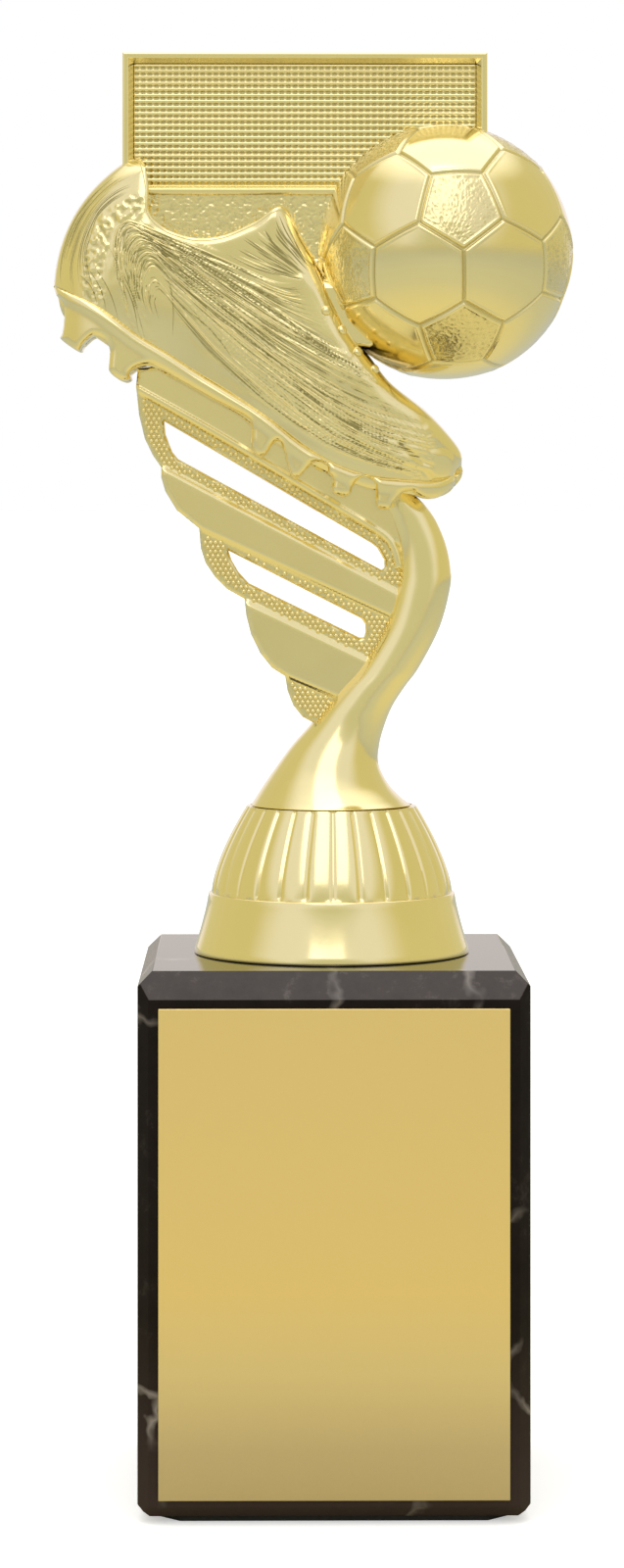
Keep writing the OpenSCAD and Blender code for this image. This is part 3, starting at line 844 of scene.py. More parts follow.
def ball_half():
    """The front half of the ball: puffed panels, textured pentagons and sewn-in seams."""
    rows, cols = 190, 510
    p, t = np.meshgrid(np.linspace(0.002, math.pi / 2, rows), np.arange(cols) / cols * 2 * math.pi,
                       indexing="ij")
    rays = np.stack([np.sin(p) * np.cos(t), -np.cos(p), np.sin(p) * np.sin(t)], -1).reshape(-1, 3)
    pentagons, hexagons = panel_centres()
    normals = np.vstack([pentagons / PENTAGON_AWAY, hexagons / HEXAGON_AWAY])
    reach = rays @ normals.T
    order = np.argsort(-reach, axis=1)
    first, second = order[:, 0], order[:, 1]
    idx = np.arange(len(rays))
    gap = reach[idx, first] - reach[idx, second]
    edge = gap / np.linalg.norm(normals[first] - normals[second], axis=1) * BALL_R
    is_pentagon = first < len(pentagons)
    away = np.where(is_pentagon, PENTAGON_AWAY, HEXAGON_AWAY)
    facet = BALL_R * 0.965 / (reach[idx, first] * away)
    radius = BALL_R - 0.12 + PANEL_FLATNESS * (facet - BALL_R) * ease(0.1, 1.2, edge)
    seam = 1 - ease(0.08, 0.42, edge)
    radius += 0.11 * np.exp(-((edge - 0.62) / 0.2) ** 2) - SEAM_DEPTH * seam
    leather = ease(0.7, 1.0, edge) * is_pentagon
    bumps = hammered(rays * BALL_R, 0.5, 21)
    radius += leather * (PEBBLE_DEPTH * bumps - 0.05)
    radius = np.minimum(radius, BALL_R)
    # painted shade in the seams and in the low spots of the pentagons' pebbling
    recess = 0.5 * seam + leather * (0.45 - 0.3 * ease(-0.5, 0.25, bumps))
    rings = (rays * radius[:, None]).reshape(rows, cols, 3) + BALL_CENTRE
    return *loft(rings), recess


ball_verts, ball_faces, ball_recess = ball_half()
both_sides("ball_{}_half", ball_verts, ball_faces, "ball_{}", recess=ball_recess)


# ---------------------------------------------------------------- boot

# Ribs from heel to toe: underside x z, seam x z, top x z, share of the boot's half width
BOOT_RIBS = [
    (-47.2, 87.6, -47.8, 89.4, -35.2, 111, 0), (-46, 84.2, -45.4, 88.3, -32.6, 110.8, 0.52),
    (-44, 82.4, -42.6, 87, -31.5, 106.6, 0.7), (-41, 80.8, -39.7, 85.4, -31.2, 101.6, 0.79),
    (-38.2, 78.9, -36.8, 83.4, -28.2, 98.6, 0.83), (-34.6, 76.2, -32.9, 80.5, -23.3, 97.1, 0.84),
    (-30, 75.1, -28.1, 77.6, -18.4, 97.6, 0.84), (-25.2, 72.6, -23.5, 74.6, -13.3, 99.8, 0.85),
    (-20, 69.5, -19, 71.9, -8.4, 102.5, 0.88), (-15.3, 66.9, -14.5, 69, -5.2, 97.9, 0.91),
    (-11.3, 63.6, -10, 65.9, -2.1, 92.1, 0.95), (-6, 60.2, -5.2, 62.2, 0.3, 86.9, 0.98),
    (-2, 58, -1.5, 59.8, 3, 81.6, 1), (2.3, 56, 2.5, 57.9, 6.4, 77.2, 0.98),
    (6.6, 54.6, 6.8, 56.7, 10, 72.7, 0.94), (12, 53.8, 12.3, 56.1, 15.9, 68, 0.84),
    (17.2, 53, 17, 55.8, 19.8, 64, 0.64), (20.2, 54, 20, 56.3, 22.1, 60.9, 0.42),
    (21.7, 56.2, 21.3, 57, 22.4, 58.6, 0)
]
LAST_RIB = len(BOOT_RIBS) - 1
BOOT_HALF_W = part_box("boot_front")[0].y / -MM
# How far the back of the heel bows out, and the rib where that ends
HEEL_BOW = 3.1
HEEL_RIBS = 6
SEAM_FRACTION = 0.93
# Share of the way from seam to top edge at which the upper is widest
FULLEST = 0.42

# Guide lines of the upper's strokes, from the outermost hairpin at the heel to the sole.
# All run to the toe.
FLOW_GUIDES = [
    [(-33.1, 80), (-34.8, 83.8), (-35.6, 87.9), (-36.3, 89.4), (-36.8, 91.1), (-37.1, 93.7),
     (-37.2, 95.7), (-37, 97.7), (-36.3, 99.1), (-35, 100.1), (-33.8, 99.9), (-31.9, 99.2),
     (-29.4, 98.2), (-26, 96.7), (-19.6, 94), (-12.9, 91), (-10.3, 89.9), (-7.8, 89.4), (-5.3, 89.8)],
    [(-32.6, 80), (-34.3, 84.1), (-35.6, 88.8), (-35.9, 91.1), (-36.2, 92.9), (-36.3, 94.5),
     (-36.3, 96.2), (-36, 97.7), (-35.3, 98.8), (-34.5, 99.2), (-33.4, 98.9), (-31.9, 97.9),
     (-29.4, 96.7), (-26, 95), (-19.7, 90.9), (-13.2, 86.6), (-9.1, 84), (-4.6, 81.5), (0.9, 78.8)],
    [(-31.6, 80), (-33.1, 84.5), (-34.3, 88.8), (-34.5, 90.5), (-34.7, 91.4), (-34.8, 92.9),
     (-34.8, 94.1), (-34.5, 95.2), (-33.9, 96.1), (-32.8, 96.9), (-31.6, 96.7), (-30.2, 96.1),
     (-27.7, 94.4), (-24.5, 92.3), (-18.2, 87.6), (-11.2, 82.8), (-6.2, 79.7), (0.9, 75.7), (8.7, 71.9)],
    [(-30.6, 80), (-32.1, 84.1), (-33.3, 87.9), (-33.4, 89.6), (-33.5, 90.8), (-33.4, 91.9),
     (-33.1, 93.1), (-32.6, 94.1), (-31.9, 94.6), (-31.1, 94.7), (-30.1, 94.2), (-28.7, 92.7),
     (-26.3, 90.4), (-23.1, 87.8), (-15.7, 82.1), (-8.2, 76.2), (-1.5, 71.9), (5.9, 68), (15.3, 65.4)],
    [(-29.6, 80), (-31.1, 83.8), (-32.1, 86.9), (-32.2, 88.4), (-32.2, 89.6), (-31.9, 90.8),
     (-31.5, 91.6), (-31, 92.2), (-30.3, 92.3), (-29.6, 91.8), (-28.5, 90.6), (-26.3, 88.4),
     (-23.8, 86), (-20.7, 83), (-14, 77.2), (-6.6, 72), (0.9, 66.7), (8.3, 62.9), (16.6, 60.6)],
    [(-28.8, 80), (-30.1, 83.3), (-31, 86.1), (-31.1, 87.4), (-31.1, 88.4), (-30.9, 89.3),
     (-30.5, 89.8), (-30, 89.9), (-29.5, 89.6), (-28.8, 88.8), (-27.5, 87.3), (-25.5, 85.1),
     (-23.1, 82.5), (-19.8, 78.8), (-14, 73.7), (-6.6, 67.5), (0.9, 62.6), (8.7, 59.3), (15.3, 57.4)],
    [(-28, 80), (-29.1, 82.8), (-29.8, 85.1), (-30, 86.1), (-29.9, 86.9), (-29.6, 87.5), (-29.3, 87.8),
     (-28.9, 87.6), (-28.5, 87.1), (-27.8, 86.3), (-26.6, 84.6), (-24.8, 82.3), (-22.5, 79.5),
     (-19.5, 76.2), (-13.5, 70.5), (-6.6, 65.2), (0.9, 60.9), (7.5, 58.6), (13.3, 57.4)]
]
# Hair-fine lines that follow the back of the heel, from the outside in
HEEL_GUIDES = [
    [(-46.4, 88.1), (-46.7, 92.4), (-45.9, 96.6), (-44.4, 100.4), (-41.7, 104.4), (-38.7, 107.5),
     (-36.1, 109.3)],
    [(-44.4, 87.4), (-44.7, 92.4), (-43.7, 96.6), (-42.1, 100.4), (-39.7, 103.7), (-36.8, 106),
     (-33.9, 107.3)],
    [(-38.1, 84.5), (-40.4, 89.1), (-41.7, 93.7), (-41.1, 97.4), (-40.1, 100.7), (-37.8, 103),
     (-34.8, 104.7)]
]
# Lines that fan out over the tongue and meet at its foot
TONGUE_GUIDES = [
    [(-18.9, 94.6), (-12.9, 91.8), (-6.6, 90.1), (-4.8, 89.9)],
    [(-16.9, 95.9), (-12.9, 93.7), (-9.1, 91.9), (-5.9, 90.6)],
    [(-14.9, 97.4), (-11.6, 95.1), (-8.2, 92.8), (-5.3, 90.6)],
    [(-12.9, 98.2), (-10.6, 96.2), (-7.4, 93.4), (-4.4, 90.8)],
    [(-11.1, 99.4), (-9.9, 96.9), (-6.6, 93.7), (-3.6, 90.6)],
    [(-8.6, 102), (-7.2, 98.7), (-5.3, 94.9), (-2.9, 91.1)]
]


def boot_rib_table(u):
    """Rib values at fractions u of the way from heel to toe, smoothly in between."""
    table = np.array(BOOT_RIBS, float)
    # squared, so that the heel and the toe close in a round end
    table[:, 6] = table[:, 6] ** 2
    fine = smooth_line(table, 40)
    at = np.linspace(0, 1, len(fine))
    cols = [np.interp(u, at, fine[:, k]) for k in range(7)]
    cols[6] = np.sqrt(np.clip(cols[6], 0.0006, None))
    return cols


# Rows of a guide sheet from one guide to the next
SHEET_STEPS = 16


def guide_sheet(guides):
    """Points x z of a grid whose rows are lines that go smoothly from one guide to the next."""
    along = np.array([smooth_line(g, 12) for g in guides])
    return smooth_line(along.reshape(len(guides), -1), SHEET_STEPS).reshape(-1, along.shape[1], 2)


def flow_relief(points):
    """Soft waves along the upper's flow at x z points, strongest towards the toe."""
    sheet = guide_sheet(FLOW_GUIDES)
    lines, runs = sheet.shape[:2]
    tree = kdtree.KDTree(lines * runs)
    for k, (x, z) in enumerate(sheet.reshape(-1, 2)):
        tree.insert((x, z, 0), k)
    tree.balance()
    found = [tree.find((x, z, 0)) for x, z in points]
    index = np.array([f[1] for f in found])
    away = np.array([f[2] for f in found])
    guide = index // runs / SHEET_STEPS
    run = index % runs / (runs - 1)
    wander = 1.3 * lattice_noise(np.column_stack([run * 6, guide]), 1.0, 3)
    wave = np.sin(2 * math.pi * (guide * 2.6 + wander))
    smooth_side = ease(4.0, 4.8, guide) * (1 - ease(0.72, 0.85, run))
    strength = ease(0.5, 0.62, run) * (1 - 0.75 * smooth_side)
    strength += 0.5 * (1 - ease(0.3, 0.5, run)) * (1 - ease(2.5, 4, guide))
    return WAVE_HEIGHT * wave * strength * (1 - ease(0.5, 1.4, away))


def boot_surface(u, s):
    """Points of the upper's outside: u runs from heel to toe, s from seam to top edge (0 to 1)."""
    _, _, seam_x, seam_z, top_x, top_z, share = boot_rib_table(u)
    t = 1 - (1 - s) ** 1.7
    station = u * LAST_RIB
    bow = HEEL_BOW * np.clip(1 - station / HEEL_RIBS, 0, 1) * 4 * t * (1 - t)
    x = seam_x + (top_x - seam_x) * t - 0.87 * bow
    z = seam_z + (top_z - seam_z) * t + 0.49 * bow
    collar = ease(0.6, 2.0, station) * (1 - ease(7.6, 9.2, station))
    instep = ease(8.0, 9.0, station) * (1 - ease(15, 17.5, station))
    # above the fullest line the side turns in to the rim: a high power makes a tight shoulder
    power = 4.5 + 6 * collar + 3 * instep - 1.9 * ease(13, 17, station)
    wide = BOOT_HALF_W * share
    rim = np.minimum((1.6 + 7 * collar + 2.6 * instep) * np.minimum(1, share * 3), wide * 0.92)
    a = np.clip((t - FULLEST) / (1 - FULLEST), 0, 1)
    below = wide * (SEAM_FRACTION + (1 - SEAM_FRACTION) * np.sin(t / FULLEST * math.pi / 2))
    above = rim + (wide - rim) * np.sqrt(np.clip(1 - a ** power, 0, 1))
    return np.stack([x, -np.where(t < FULLEST, below, above), z], -1)


# Section of the lining at the collar: how far in from the edge, and how far down
LINING = [(0.25, -0.02), (0.9, 0.1), (1.3, 0.6), (1.5, 1.6), (1.7, 3.2), (2.2, 4.2)]


def boot_half():
    """The front half of the upper with its relief, and how much painted shade each point has."""
    rows, cols = 360, 225
    u = np.linspace(0, 1, rows)
    # finer steps at heel and toe
    u = 0.5 - 0.5 * np.cos(u * math.pi) * 0.12 + (u - 0.5) * 0.88
    gu, gs = np.meshgrid(u, np.linspace(0, 1, cols), indexing="ij")
    skin = boot_surface(gu.ravel(), gs.ravel()).reshape(rows, cols, 3)
    normal = np.cross(np.gradient(skin, axis=0), np.gradient(skin, axis=1))
    normal /= np.maximum(np.linalg.norm(normal, axis=2, keepdims=True), 1e-9)
    normal *= np.where(normal[..., 1:2] > 0, -1, 1)
    height, shade = boot_relief(skin[..., [0, 2]].reshape(-1, 2), gu.ravel(), gs.ravel())
    fade = np.clip(np.minimum(gu, 1 - gu) / 0.02, 0, 1)[..., None]
    skin = skin + normal * height.reshape(rows, cols, 1) * fade
    # the mouth: down inside the collar and across to the middle plane
    station = gu[:, -1] * LAST_RIB
    collar = ease(1.0, 2.2, station) * (1 - ease(7.2, 8.6, station))
    edge = skin[:, -1]
    down = skin[:, -30] - edge
    down = down / np.maximum(np.linalg.norm(down[:, [0, 2]], axis=1), 1e-6)[:, None]
    down[:, 1] = 0
    columns = []
    for inward, drop in LINING:
        point = edge + down * (drop * collar)[:, None]
        point[:, 1] = np.minimum(edge[:, 1] + inward * collar, -0.02)
        columns.append(point)
    columns += [columns[-1] * (1, 0, 1), skin[:, 0] * (1, 0, 1)]
    ring = np.concatenate([skin, np.stack(columns, 1)], axis=1)
    shade = np.pad(shade.reshape(rows, cols), ((0, 0), (0, len(columns))))
    return *loft(ring), shade.ravel()


WAVE_HEIGHT = 0.07
COLLAR_LIP = 0.16
# Bark-like strip between the heel and the first hairpin
BARK_LINE = smooth_line([(-40.4, 87), (-40.9, 91), (-40, 95.5), (-38.6, 99.4), (-36, 101.8),
                         (-33.6, 103)], 8)
# Patch of painted shade where the tongue's lines part from the flow
PAINTED_SHADE_PATCH = [(-15.2, 89.6), (-12.9, 89.1), (-9.4, 87.4), (-7.9, 85.3), (-9.9, 85.1), (-12.2, 87.1)]
TOE_GROOVE = smooth_line([(11.6, 62.2), (13.6, 60.4), (15.2, 59.2), (16.8, 58.6)], 8)
TOE_END = (18.4, 58.6)
# Smooth swelling above the toe
TOE_SWELLING = smooth_line([(5.4, 63.4), (8.6, 61.2), (12.4, 59.4)], 8)


def boot_relief(flat, u, s):
    """Everything raised or sunk on the boot's upper, in millimetres, and how much painted shade it has.
    """
    height = flow_relief(flat)
    bark = 1 - ease(1.0, 2.3, distance(flat, BARK_LINE, closed=False))
    flakes = hammered(flat, 1.2, 31)
    height += 0.25 * bark * flakes
    # painted shade in the low spots of the bark
    shade = 0.5 * bark * (1 - ease(-0.5, 0.2, flakes))
    shade = np.maximum(shade, 0.6 * ease(-0.2, 0.3, signed_distance(flat, PAINTED_SHADE_PATCH)))
    collar = ease(0.885, 0.9, s) * (1 - ease(0.985, 1.0, s)) * (1 - ease(8.4, 9.0, u * LAST_RIB))
    height += COLLAR_LIP * collar
    height -= 0.22 * np.exp(-(distance(flat, TOE_GROOVE, closed=False) / 0.45) ** 2)
    height += 0.35 * (1 - ease(1.6, 3.0, np.linalg.norm(flat - TOE_END, axis=1)))
    height += 0.14 * (1 - ease(0.3, 2.2, distance(flat, TOE_SWELLING, closed=False)))
    return height, shade


boot_verts, boot_faces, boot_shade = boot_half()
both_sides("upper_{}", boot_verts, boot_faces, "boot_{}", recess=boot_shade)
BOOT_SKIN = bvhtree.BVHTree.FromPolygons([tuple(v) for v in boot_verts], boot_faces)


def on_skin(x, z):
    """The point of the boot's outside at x z, and the way that it faces."""
    hit, normal, _, _ = BOOT_SKIN.ray_cast(Vector((x, -40, z)), Vector((0, 1, 0)))
    if hit is None:
        return None
    return np.array(hit), np.array(normal if normal.y < 0 else -normal)


def sheet_path(sheet, guide_from, guide_to, run_from, run_to):
    """Points along a line of a guide sheet that drifts from one guide position to another."""
    t = np.linspace(0, 1, max(4, int((run_to - run_from) * 60)))
    row = (guide_from + (guide_to - guide_from) * t) * SHEET_STEPS
    col = (run_from + (run_to - run_from) * t) * (sheet.shape[1] - 1)
    i = np.clip(row.astype(int), 0, sheet.shape[0] - 2)
    j = np.clip(col.astype(int), 0, sheet.shape[1] - 2)
    a, b = (row - i)[:, None], (col - j)[:, None]
    return ((sheet[i, j] * (1 - a) + sheet[i + 1, j] * a) * (1 - b)
            + (sheet[i, j + 1] * (1 - a) + sheet[i + 1, j + 1] * a) * b)


def stroke(path, width, rise):
    """A thin tapered ridge on the boot's skin along x z points, if four or more of them meet it."""
    seats = [seat for seat in (on_skin(x, z) for x, z in path) if seat]
    if len(seats) < 4:
        return None
    base, up = np.array(seats).transpose(1, 0, 2)
    side = np.cross(np.gradient(base, axis=0), up)
    side /= np.maximum(np.linalg.norm(side, axis=1), 1e-9)[:, None]
    t = np.linspace(0, 1, len(base))
    taper = np.sqrt(np.sin(math.pi * np.clip(t, 0.02, 0.98)))[:, None]
    edge = side * width / 2 * taper
    return loft(np.stack([base + edge - 0.05 * up, base + rise * taper * up,
                          base - edge - 0.05 * up, base - 0.25 * up], 1))


STROKE_SEED = 11
FLOW_STROKES, HEEL_STROKES, TONGUE_STROKES = 880, 70, 80
# How much painted shade a stroke has: dark strokes are painted shade, bright ones plain gold
DARK, BRIGHT = 1.0, 0.0
# Long single strokes that stand out, as x z of their ends; the dark ones are painted shade
LONG_DARK = [
    ((-41.7, 92.1), (-38.3, 83.3)), ((-40.6, 92.4), (-36.1, 81.6)), ((-38.1, 95.7), (-31.8, 79.5)),
    ((-36.4, 91.2), (-32.9, 80.2)), ((-43.2, 91), (-39.9, 85.1)),
    ((-26.1, 85.8), (-16.7, 76.2)), ((-26.3, 88.9), (-20, 82.8)), ((-19.3, 85.9), (-10.6, 79.3)),
    ((-19.7, 89.8), (0, 77.5)), ((-28.3, 91.2), (-27.2, 80.5)), ((-24.6, 92.6), (-8.6, 82.2))
]
LONG_BRIGHT = [
    ((-12.1, 78.8), (0, 70.4)), ((-15, 76.7), (-5.3, 66.7)), ((-8.2, 72.3), (-1.1, 65.9)),
    ((-0.1, 68.7), (14.6, 61.7))
]


def upper_strokes():
    """All the strokes of one side of the boot as one mesh, and how much painted shade each point has."""
    rng = np.random.RandomState(STROKE_SEED)
    parts, shades = [], []

    def add(path, width, rise, shade):
        made = stroke(path, width, rise)
        if made:
            parts.append(made)
            shades.append(np.full(len(made[0]), shade))

    def scatter(guides, count, earliest, latest, lengths, widths, rise):
        """Strokes that each run along one line of a sheet. Two in three are dark, with painted shade."""
        sheet = guide_sheet(guides)
        for k in range(count):
            guide = rng.uniform(0, len(guides) - 1)
            start = rng.uniform(earliest, latest)
            path = sheet_path(sheet, guide, guide, start, min(start + rng.uniform(*lengths), 0.98))
            add(path, rng.uniform(*widths), rise, DARK if k % 3 else BRIGHT)

    flow = guide_sheet(FLOW_GUIDES)
    last = len(FLOW_GUIDES) - 1
    # each guide itself is a raised line round its hairpin
    for k in range(last):
        add(sheet_path(flow, k, k, 0.1, 0.7 if k else 0.97), 0.5, 0.1, BRIGHT)
    for k in range(FLOW_STROKES):
        guide = rng.uniform(0, last)
        start = rng.uniform(0.3, 0.95) if k % 3 else rng.uniform(0.06, 0.4)
        length = rng.uniform(0.06, 0.3) * (0.5 if start < 0.4 else 1)
        drift = rng.uniform(-0.12, 0.12)
        width = rng.uniform(0.2, 0.45)
        dark = rng.uniform() < 0.8
        # few strokes on the smooth side above the sole
        if guide > 3.9 and start < 0.76 and rng.uniform() < 0.8:
            continue
        end = min(max(guide + drift, 0), last)
        path = sheet_path(flow, guide, end, start, min(start + length, 0.99))
        add(path, width, 0.03 if dark else 0.13, DARK if dark else BRIGHT)
    t = np.linspace(0, 1, 24)[:, None]
    for strokes, rise, shade in ((LONG_DARK, 0.03, DARK), (LONG_BRIGHT, 0.1, BRIGHT)):
        for a, b in np.array(strokes):
            add(a + (b - a) * t + 0.6 * np.sin(math.pi * t), 0.42, rise, shade)
    scatter(HEEL_GUIDES, HEEL_STROKES, 0.02, 0.6, (0.25, 0.6), (0.16, 0.3), 0.05)
    scatter(TONGUE_GUIDES, TONGUE_STROKES, 0.0, 0.55, (0.3, 0.6), (0.25, 0.5), 0.06)
    return *join(parts), np.concatenate(shades)


stroke_verts, stroke_faces, stroke_shades = upper_strokes()
both_sides("upper_strokes_{}", stroke_verts, stroke_faces, recess=stroke_shades)

# Knots of the lacing and the stitches beside the toe, as x z
LACE_KNOTS = [(-1, 84.8), (1.7, 81.5), (4.3, 77.8), (7.2, 74.9)]
STITCH_ENDS = ((16.7, 66.6), (21.0, 61.9))
STITCH_FACING = (0.66, -0.35, 0.67)


def small_knobs():
    """Lacing knots on the boot's skin and stitches along the toe's top edge, as small domes."""
    seats = [(*on_skin(x, z), 0.95, 0.8) for x, z in LACE_KNOTS]
    for t in np.linspace(0, 1, 10):
        x, z = np.array(STITCH_ENDS[0]) * (1 - t) + np.array(STITCH_ENDS[1]) * t
        seats.append((np.array([x, -0.8, z]), np.array(STITCH_FACING), 0.35, 0.35))
    knobs = []
    for spot, facing, radius, height in seats:
        knob, faces = dome_field([(0, 0)], radius, height, 0.0)
        turn = Vector((0, -1, 0)).rotation_difference(Vector(facing)).to_matrix()
        knobs.append((knob @ np.array(turn).T + spot - 0.1 * facing, faces))
    return join(knobs)


both_sides("lace_knots_{}", *small_knobs())


# ---------------------------------------------------------------- sole

# Seam line from heel to toe, then the scalloped underside with its studs back to the heel
SEAM_LINE = [
    (-47.9, 89.4), (-46.5, 88.8), (-41.1, 86.4), (-36.8, 83.5), (-32.9, 80.6), (-28.1, 77.7),
    (-22.3, 73.9), (-19, 71.9), (-11.8, 67.4), (-5.2, 62.2), (0.8, 58.8), (6.8, 56.8), (12.3, 56.2),
    (17.7, 56), (21.2, 57.3), (22.3, 58.6)
]
SOLE_UNDER = [
    (22.6, 57.6), (22.3, 56.4), (21.4, 55.2), (19.9, 54.1), (19.1, 53.5), (17.7, 52.9), (15.9, 52.8),
    (14.2, 53.5), (13.7, 54.1), (12, 53.8), (11, 52.9), (10.3, 52.1), (9.7, 51.1), (8.3, 51),
    (7.6, 51.5), (7.4, 52.4), (7.45, 53.8), (7.3, 55.3), (6.8, 56), (5.9, 56.5), (4.9, 56.4),
    (4.2, 55.9), (3.4, 54.8), (3.2, 54), (2.7, 53.4), (1.9, 53.1), (0.8, 53.4), (0.2, 53.8),
    (-0.1, 54.7), (0.1, 56.2), (-0.7, 57.2), (-0.8, 58), (-1.1, 58.7), (-2.3, 59.1), (-3.5, 58.7),
    (-5.6, 56.5), (-6.3, 56.4), (-7, 56.9), (-7.6, 58.4), (-8.1, 60.6), (-9, 62.5), (-10.2, 62),
    (-11, 60.7), (-11.6, 60.1), (-12.5, 60), (-13.4, 60.9), (-13.8, 62.7), (-13.8, 65.3),
    (-14.7, 66.7), (-20, 69.5), (-25.2, 72.5), (-29.1, 74.8), (-31, 75.6), (-33.2, 75.2),
    (-34.6, 74.2), (-34.5, 73.4), (-35.4, 72.9), (-36.8, 73.4), (-38, 74.6), (-38, 76.2),
    (-37.9, 78.2), (-38.7, 79.8), (-40.3, 80.6), (-41.3, 80.3), (-42.7, 79), (-43.5, 78.1),
    (-46.4, 80.1), (-46.2, 81), (-45.9, 83), (-45.9, 86), (-47.2, 87.6)
]
SOLE_EDGE_W = 6.6


def sole_width(x):
    """Half width of the sole at x."""
    cols = boot_rib_table(np.linspace(0, 1, 400))
    return np.interp(x, cols[2], BOOT_HALF_W * cols[6] * SEAM_FRACTION) + 0.75


def sole_rim():
    """The outer wall of the sole with its studs, as a rounded relief with a flat inner face."""
    outline = np.vstack([smooth_line(SEAM_LINE, 4), smooth_line(SOLE_UNDER, 4)])
    seam = smooth_line(SEAM_LINE, 6)

    def depth(points):
        lip = np.exp(-((distance(points, seam, closed=False) - 1.2) / 0.9) ** 2)
        return sole_width(points[:, 0]) - fillet(distance(points, outline), 1.1) + 0.22 * lip

    verts, faces = relief(outline, [], 0.33, depth)
    half = len(verts) // 2
    verts[half:, 1] = np.minimum(verts[:half, 1] + SOLE_EDGE_W, -0.5)
    return verts, faces


def sole_slab():
    """The plain middle of the sole, between its two studded walls."""
    under_x, under_z, seam_x, seam_z, _, _, share = boot_rib_table(np.linspace(0.01, 0.99, 90))
    wide = np.maximum(share * BOOT_HALF_W * SEAM_FRACTION - 0.6, 0.3)
    rings = [[(sx, 0, sz), (sx, -w, sz), ((sx + bx) / 2, -w - 0.2, (sz + bz) / 2),
              (bx, -w + 0.3, bz), (bx, 0, bz)]
             for bx, bz, sx, sz, w in zip(under_x, under_z, seam_x, seam_z, wide)]
    return loft(np.array(rings))


both_sides("studded_sole_{}", *sole_rim(), "sole_{}", sharp_angle=50)
both_sides("sole_slab_{}", *sole_slab(), sharp_angle=40)


# ---------------------------------------------------------------- finishes of the CAD nodes that stay

for node, material in (("base_pad", FOAM), ("plate_tape", TAPE), ("tie_rod", STEEL), ("base_nut", STEEL),
                       ("spring_washer", STEEL), ("flat_washer", STEEL), ("figure_nut", STEEL),
                       ("foot_plug", RAW_PLASTIC)):
    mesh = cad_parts[node].data
    mesh.materials.clear()
    mesh.materials.append(material)


# ---------------------------------------------------------------- floor, light and camera

SIDE_WALLS = (0.65, 0.61, 0.35)
WHITE = (1.0, 1.0, 1.0)
# What the trophy mirrors over the side walls: a direction, the cosines from the direction at which the
# colour starts and is full, and the colour. These are a wall in front, the backdrop, the ceiling and
# the open room behind the camera.
SURROUNDINGS = [
    ((-0.1, -1.0, 0.9), 0.45, 0.72, (0.82, 0.82, 0.83)),
    ((0.0, 1.0, 0.0), 0.8, 0.93, (0.94, 0.865, 0.815)),
    ((0.0, 0.25, 1.0), 0.72, 0.9, (1.4, 1.4, 1.4)),
    ((0.0, -1.0, -0.12), 0.8, 0.93, (0.61, 0.612, 0.465))
]
FLOOR_HALF = 30.0
FLOOR_WHITES = [(0.3, (0.90, 0.90, 0.90)), (0.7, (0.93, 0.93, 0.93))]
# Colour of the floor in reflections, by distance from the middle in metres over FLOOR_REACH
FLOOR_REACH = 8.0
FLOOR_TINTS = [(0.02, (0.74, 0.69, 0.44)), (0.05, (0.575, 0.585, 0.50)), (0.18, (0.52, 0.555, 0.55)),
               (0.7, (0.60, 0.58, 0.43))]
# Light that the floor gives to the camera, to look as white as the backdrop
FLOOR_LIFT = 0.45
# Azimuth 0 is the camera's side, positive to its right
SOFTBOX_AZIMUTH, SOFTBOX_ELEVATION, SOFTBOX_AWAY = -5, 55, 1.3
SOFTBOX_SIZE = (0.72, 1.5)
SOFTBOX_RADIANCE = 0.85
SOFTBOX_TARGET = Vector((0, 0, 0.13))
CAMERA_SPOT = (-0.0102, -0.750, 0.1709)
CAMERA_TURN = -0.0091
CAMERA_SHIFT = -0.189


def camera_sees(tree):
    """1 for what the camera looks at directly, 0 in reflections and for light on the trophy."""
    return tree.nodes.new("ShaderNodeLightPath").outputs["Is Camera Ray"]


def vector_math(tree, operation, source):
    node = tree.nodes.new("ShaderNodeVectorMath")
    node.operation = operation
    tree.links.new(source, node.inputs[0])
    return node


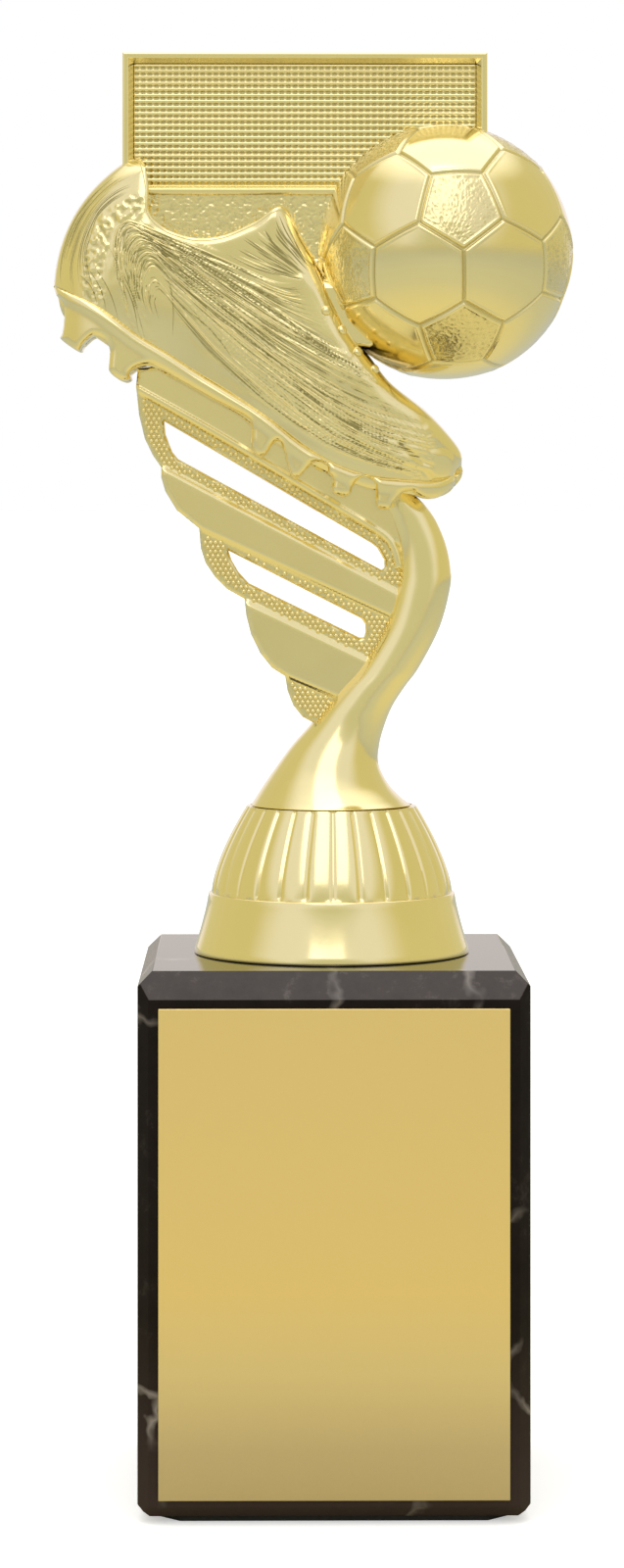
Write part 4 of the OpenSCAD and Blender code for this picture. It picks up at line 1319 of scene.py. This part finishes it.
def pale_floor():
    """A wide white floor that is a little darker in reflections than it looks."""
    mesh = bpy.data.meshes.new("floor")
    corners = [(x * FLOOR_HALF, y * FLOOR_HALF, 0) for x, y in ((-1, -1), (1, -1), (1, 1), (-1, 1))]
    mesh.from_pydata(corners, [], [(0, 1, 2, 3)])
    material, tree, shader = new_material("pale_floor", {
        "Roughness": 0.9, "Specular IOR Level": 0.0, "Emission Color": (1, 1, 1, 1)})
    white = color_ramp(tree, object_noise(tree, 8, 2), FLOOR_WHITES)
    away = vector_math(tree, "LENGTH", object_coords(tree)).outputs["Value"]
    tint = color_ramp(tree, value_range(tree, away, 0, FLOOR_REACH, 0, 1), FLOOR_TINTS)
    tree.links.new(mix(tree, camera_sees(tree), tint, white), shader.inputs["Base Color"])
    lift = value_range(tree, camera_sees(tree), 0, 1, 0, FLOOR_LIFT)
    tree.links.new(lift, shader.inputs["Emission Strength"])
    mesh.materials.append(material)
    link_object("floor", mesh)


def studio_world():
    """Soft surroundings, from the side walls up: layers of colour that fade in towards a direction."""
    world = bpy.data.worlds.new("studio")
    world.use_nodes = True
    scene.world = world
    tree = world.node_tree
    tree.nodes.clear()
    ray = tree.nodes.new("ShaderNodeTexCoord").outputs["Generated"]
    shade = SIDE_WALLS
    for direction, low, high, color in SURROUNDINGS:
        facing = vector_math(tree, "DOT_PRODUCT", ray)
        facing.inputs[1].default_value = Vector(direction).normalized()
        shade = mix(tree, value_range(tree, facing.outputs["Value"], low, high, 0, 1), shade, color)
    shade = mix(tree, camera_sees(tree), shade, WHITE)
    background = tree.nodes.new("ShaderNodeBackground")
    tree.links.new(shade, background.inputs["Color"])
    out = tree.nodes.new("ShaderNodeOutputWorld")
    tree.links.new(background.outputs["Background"], out.inputs["Surface"])


def overhead_softbox():
    """An area light in front of the trophy and above it, which faces its middle."""
    light = bpy.data.lights.new("overhead_softbox", "AREA")
    light.shape = "RECTANGLE"
    light.size, light.size_y = SOFTBOX_SIZE
    light.energy = SOFTBOX_RADIANCE * math.pi * light.size * light.size_y
    lamp = link_object("overhead_softbox", light)
    a, e = math.radians(SOFTBOX_AZIMUTH), math.radians(SOFTBOX_ELEVATION)
    toward = Vector((math.sin(a) * math.cos(e), -math.cos(a) * math.cos(e), math.sin(e)))
    lamp.location = SOFTBOX_TARGET + SOFTBOX_AWAY * toward
    lamp.rotation_euler = (-toward).to_track_quat("-Z", "Y").to_euler()


def camera():
    """The photograph's viewpoint: level, a little to the left and framed downwards."""
    data = bpy.data.cameras.new("camera")
    data.lens, data.sensor_width = 100.0, 36
    data.shift_y = CAMERA_SHIFT
    data.clip_start, data.clip_end = 0.05, 100
    scene.camera = link_object("camera", data)
    scene.camera.location = CAMERA_SPOT
    scene.camera.rotation_euler = (math.radians(90), 0, CAMERA_TURN)


pale_floor()
studio_world()
overhead_softbox()
camera()
scene.view_settings.view_transform = "Standard"
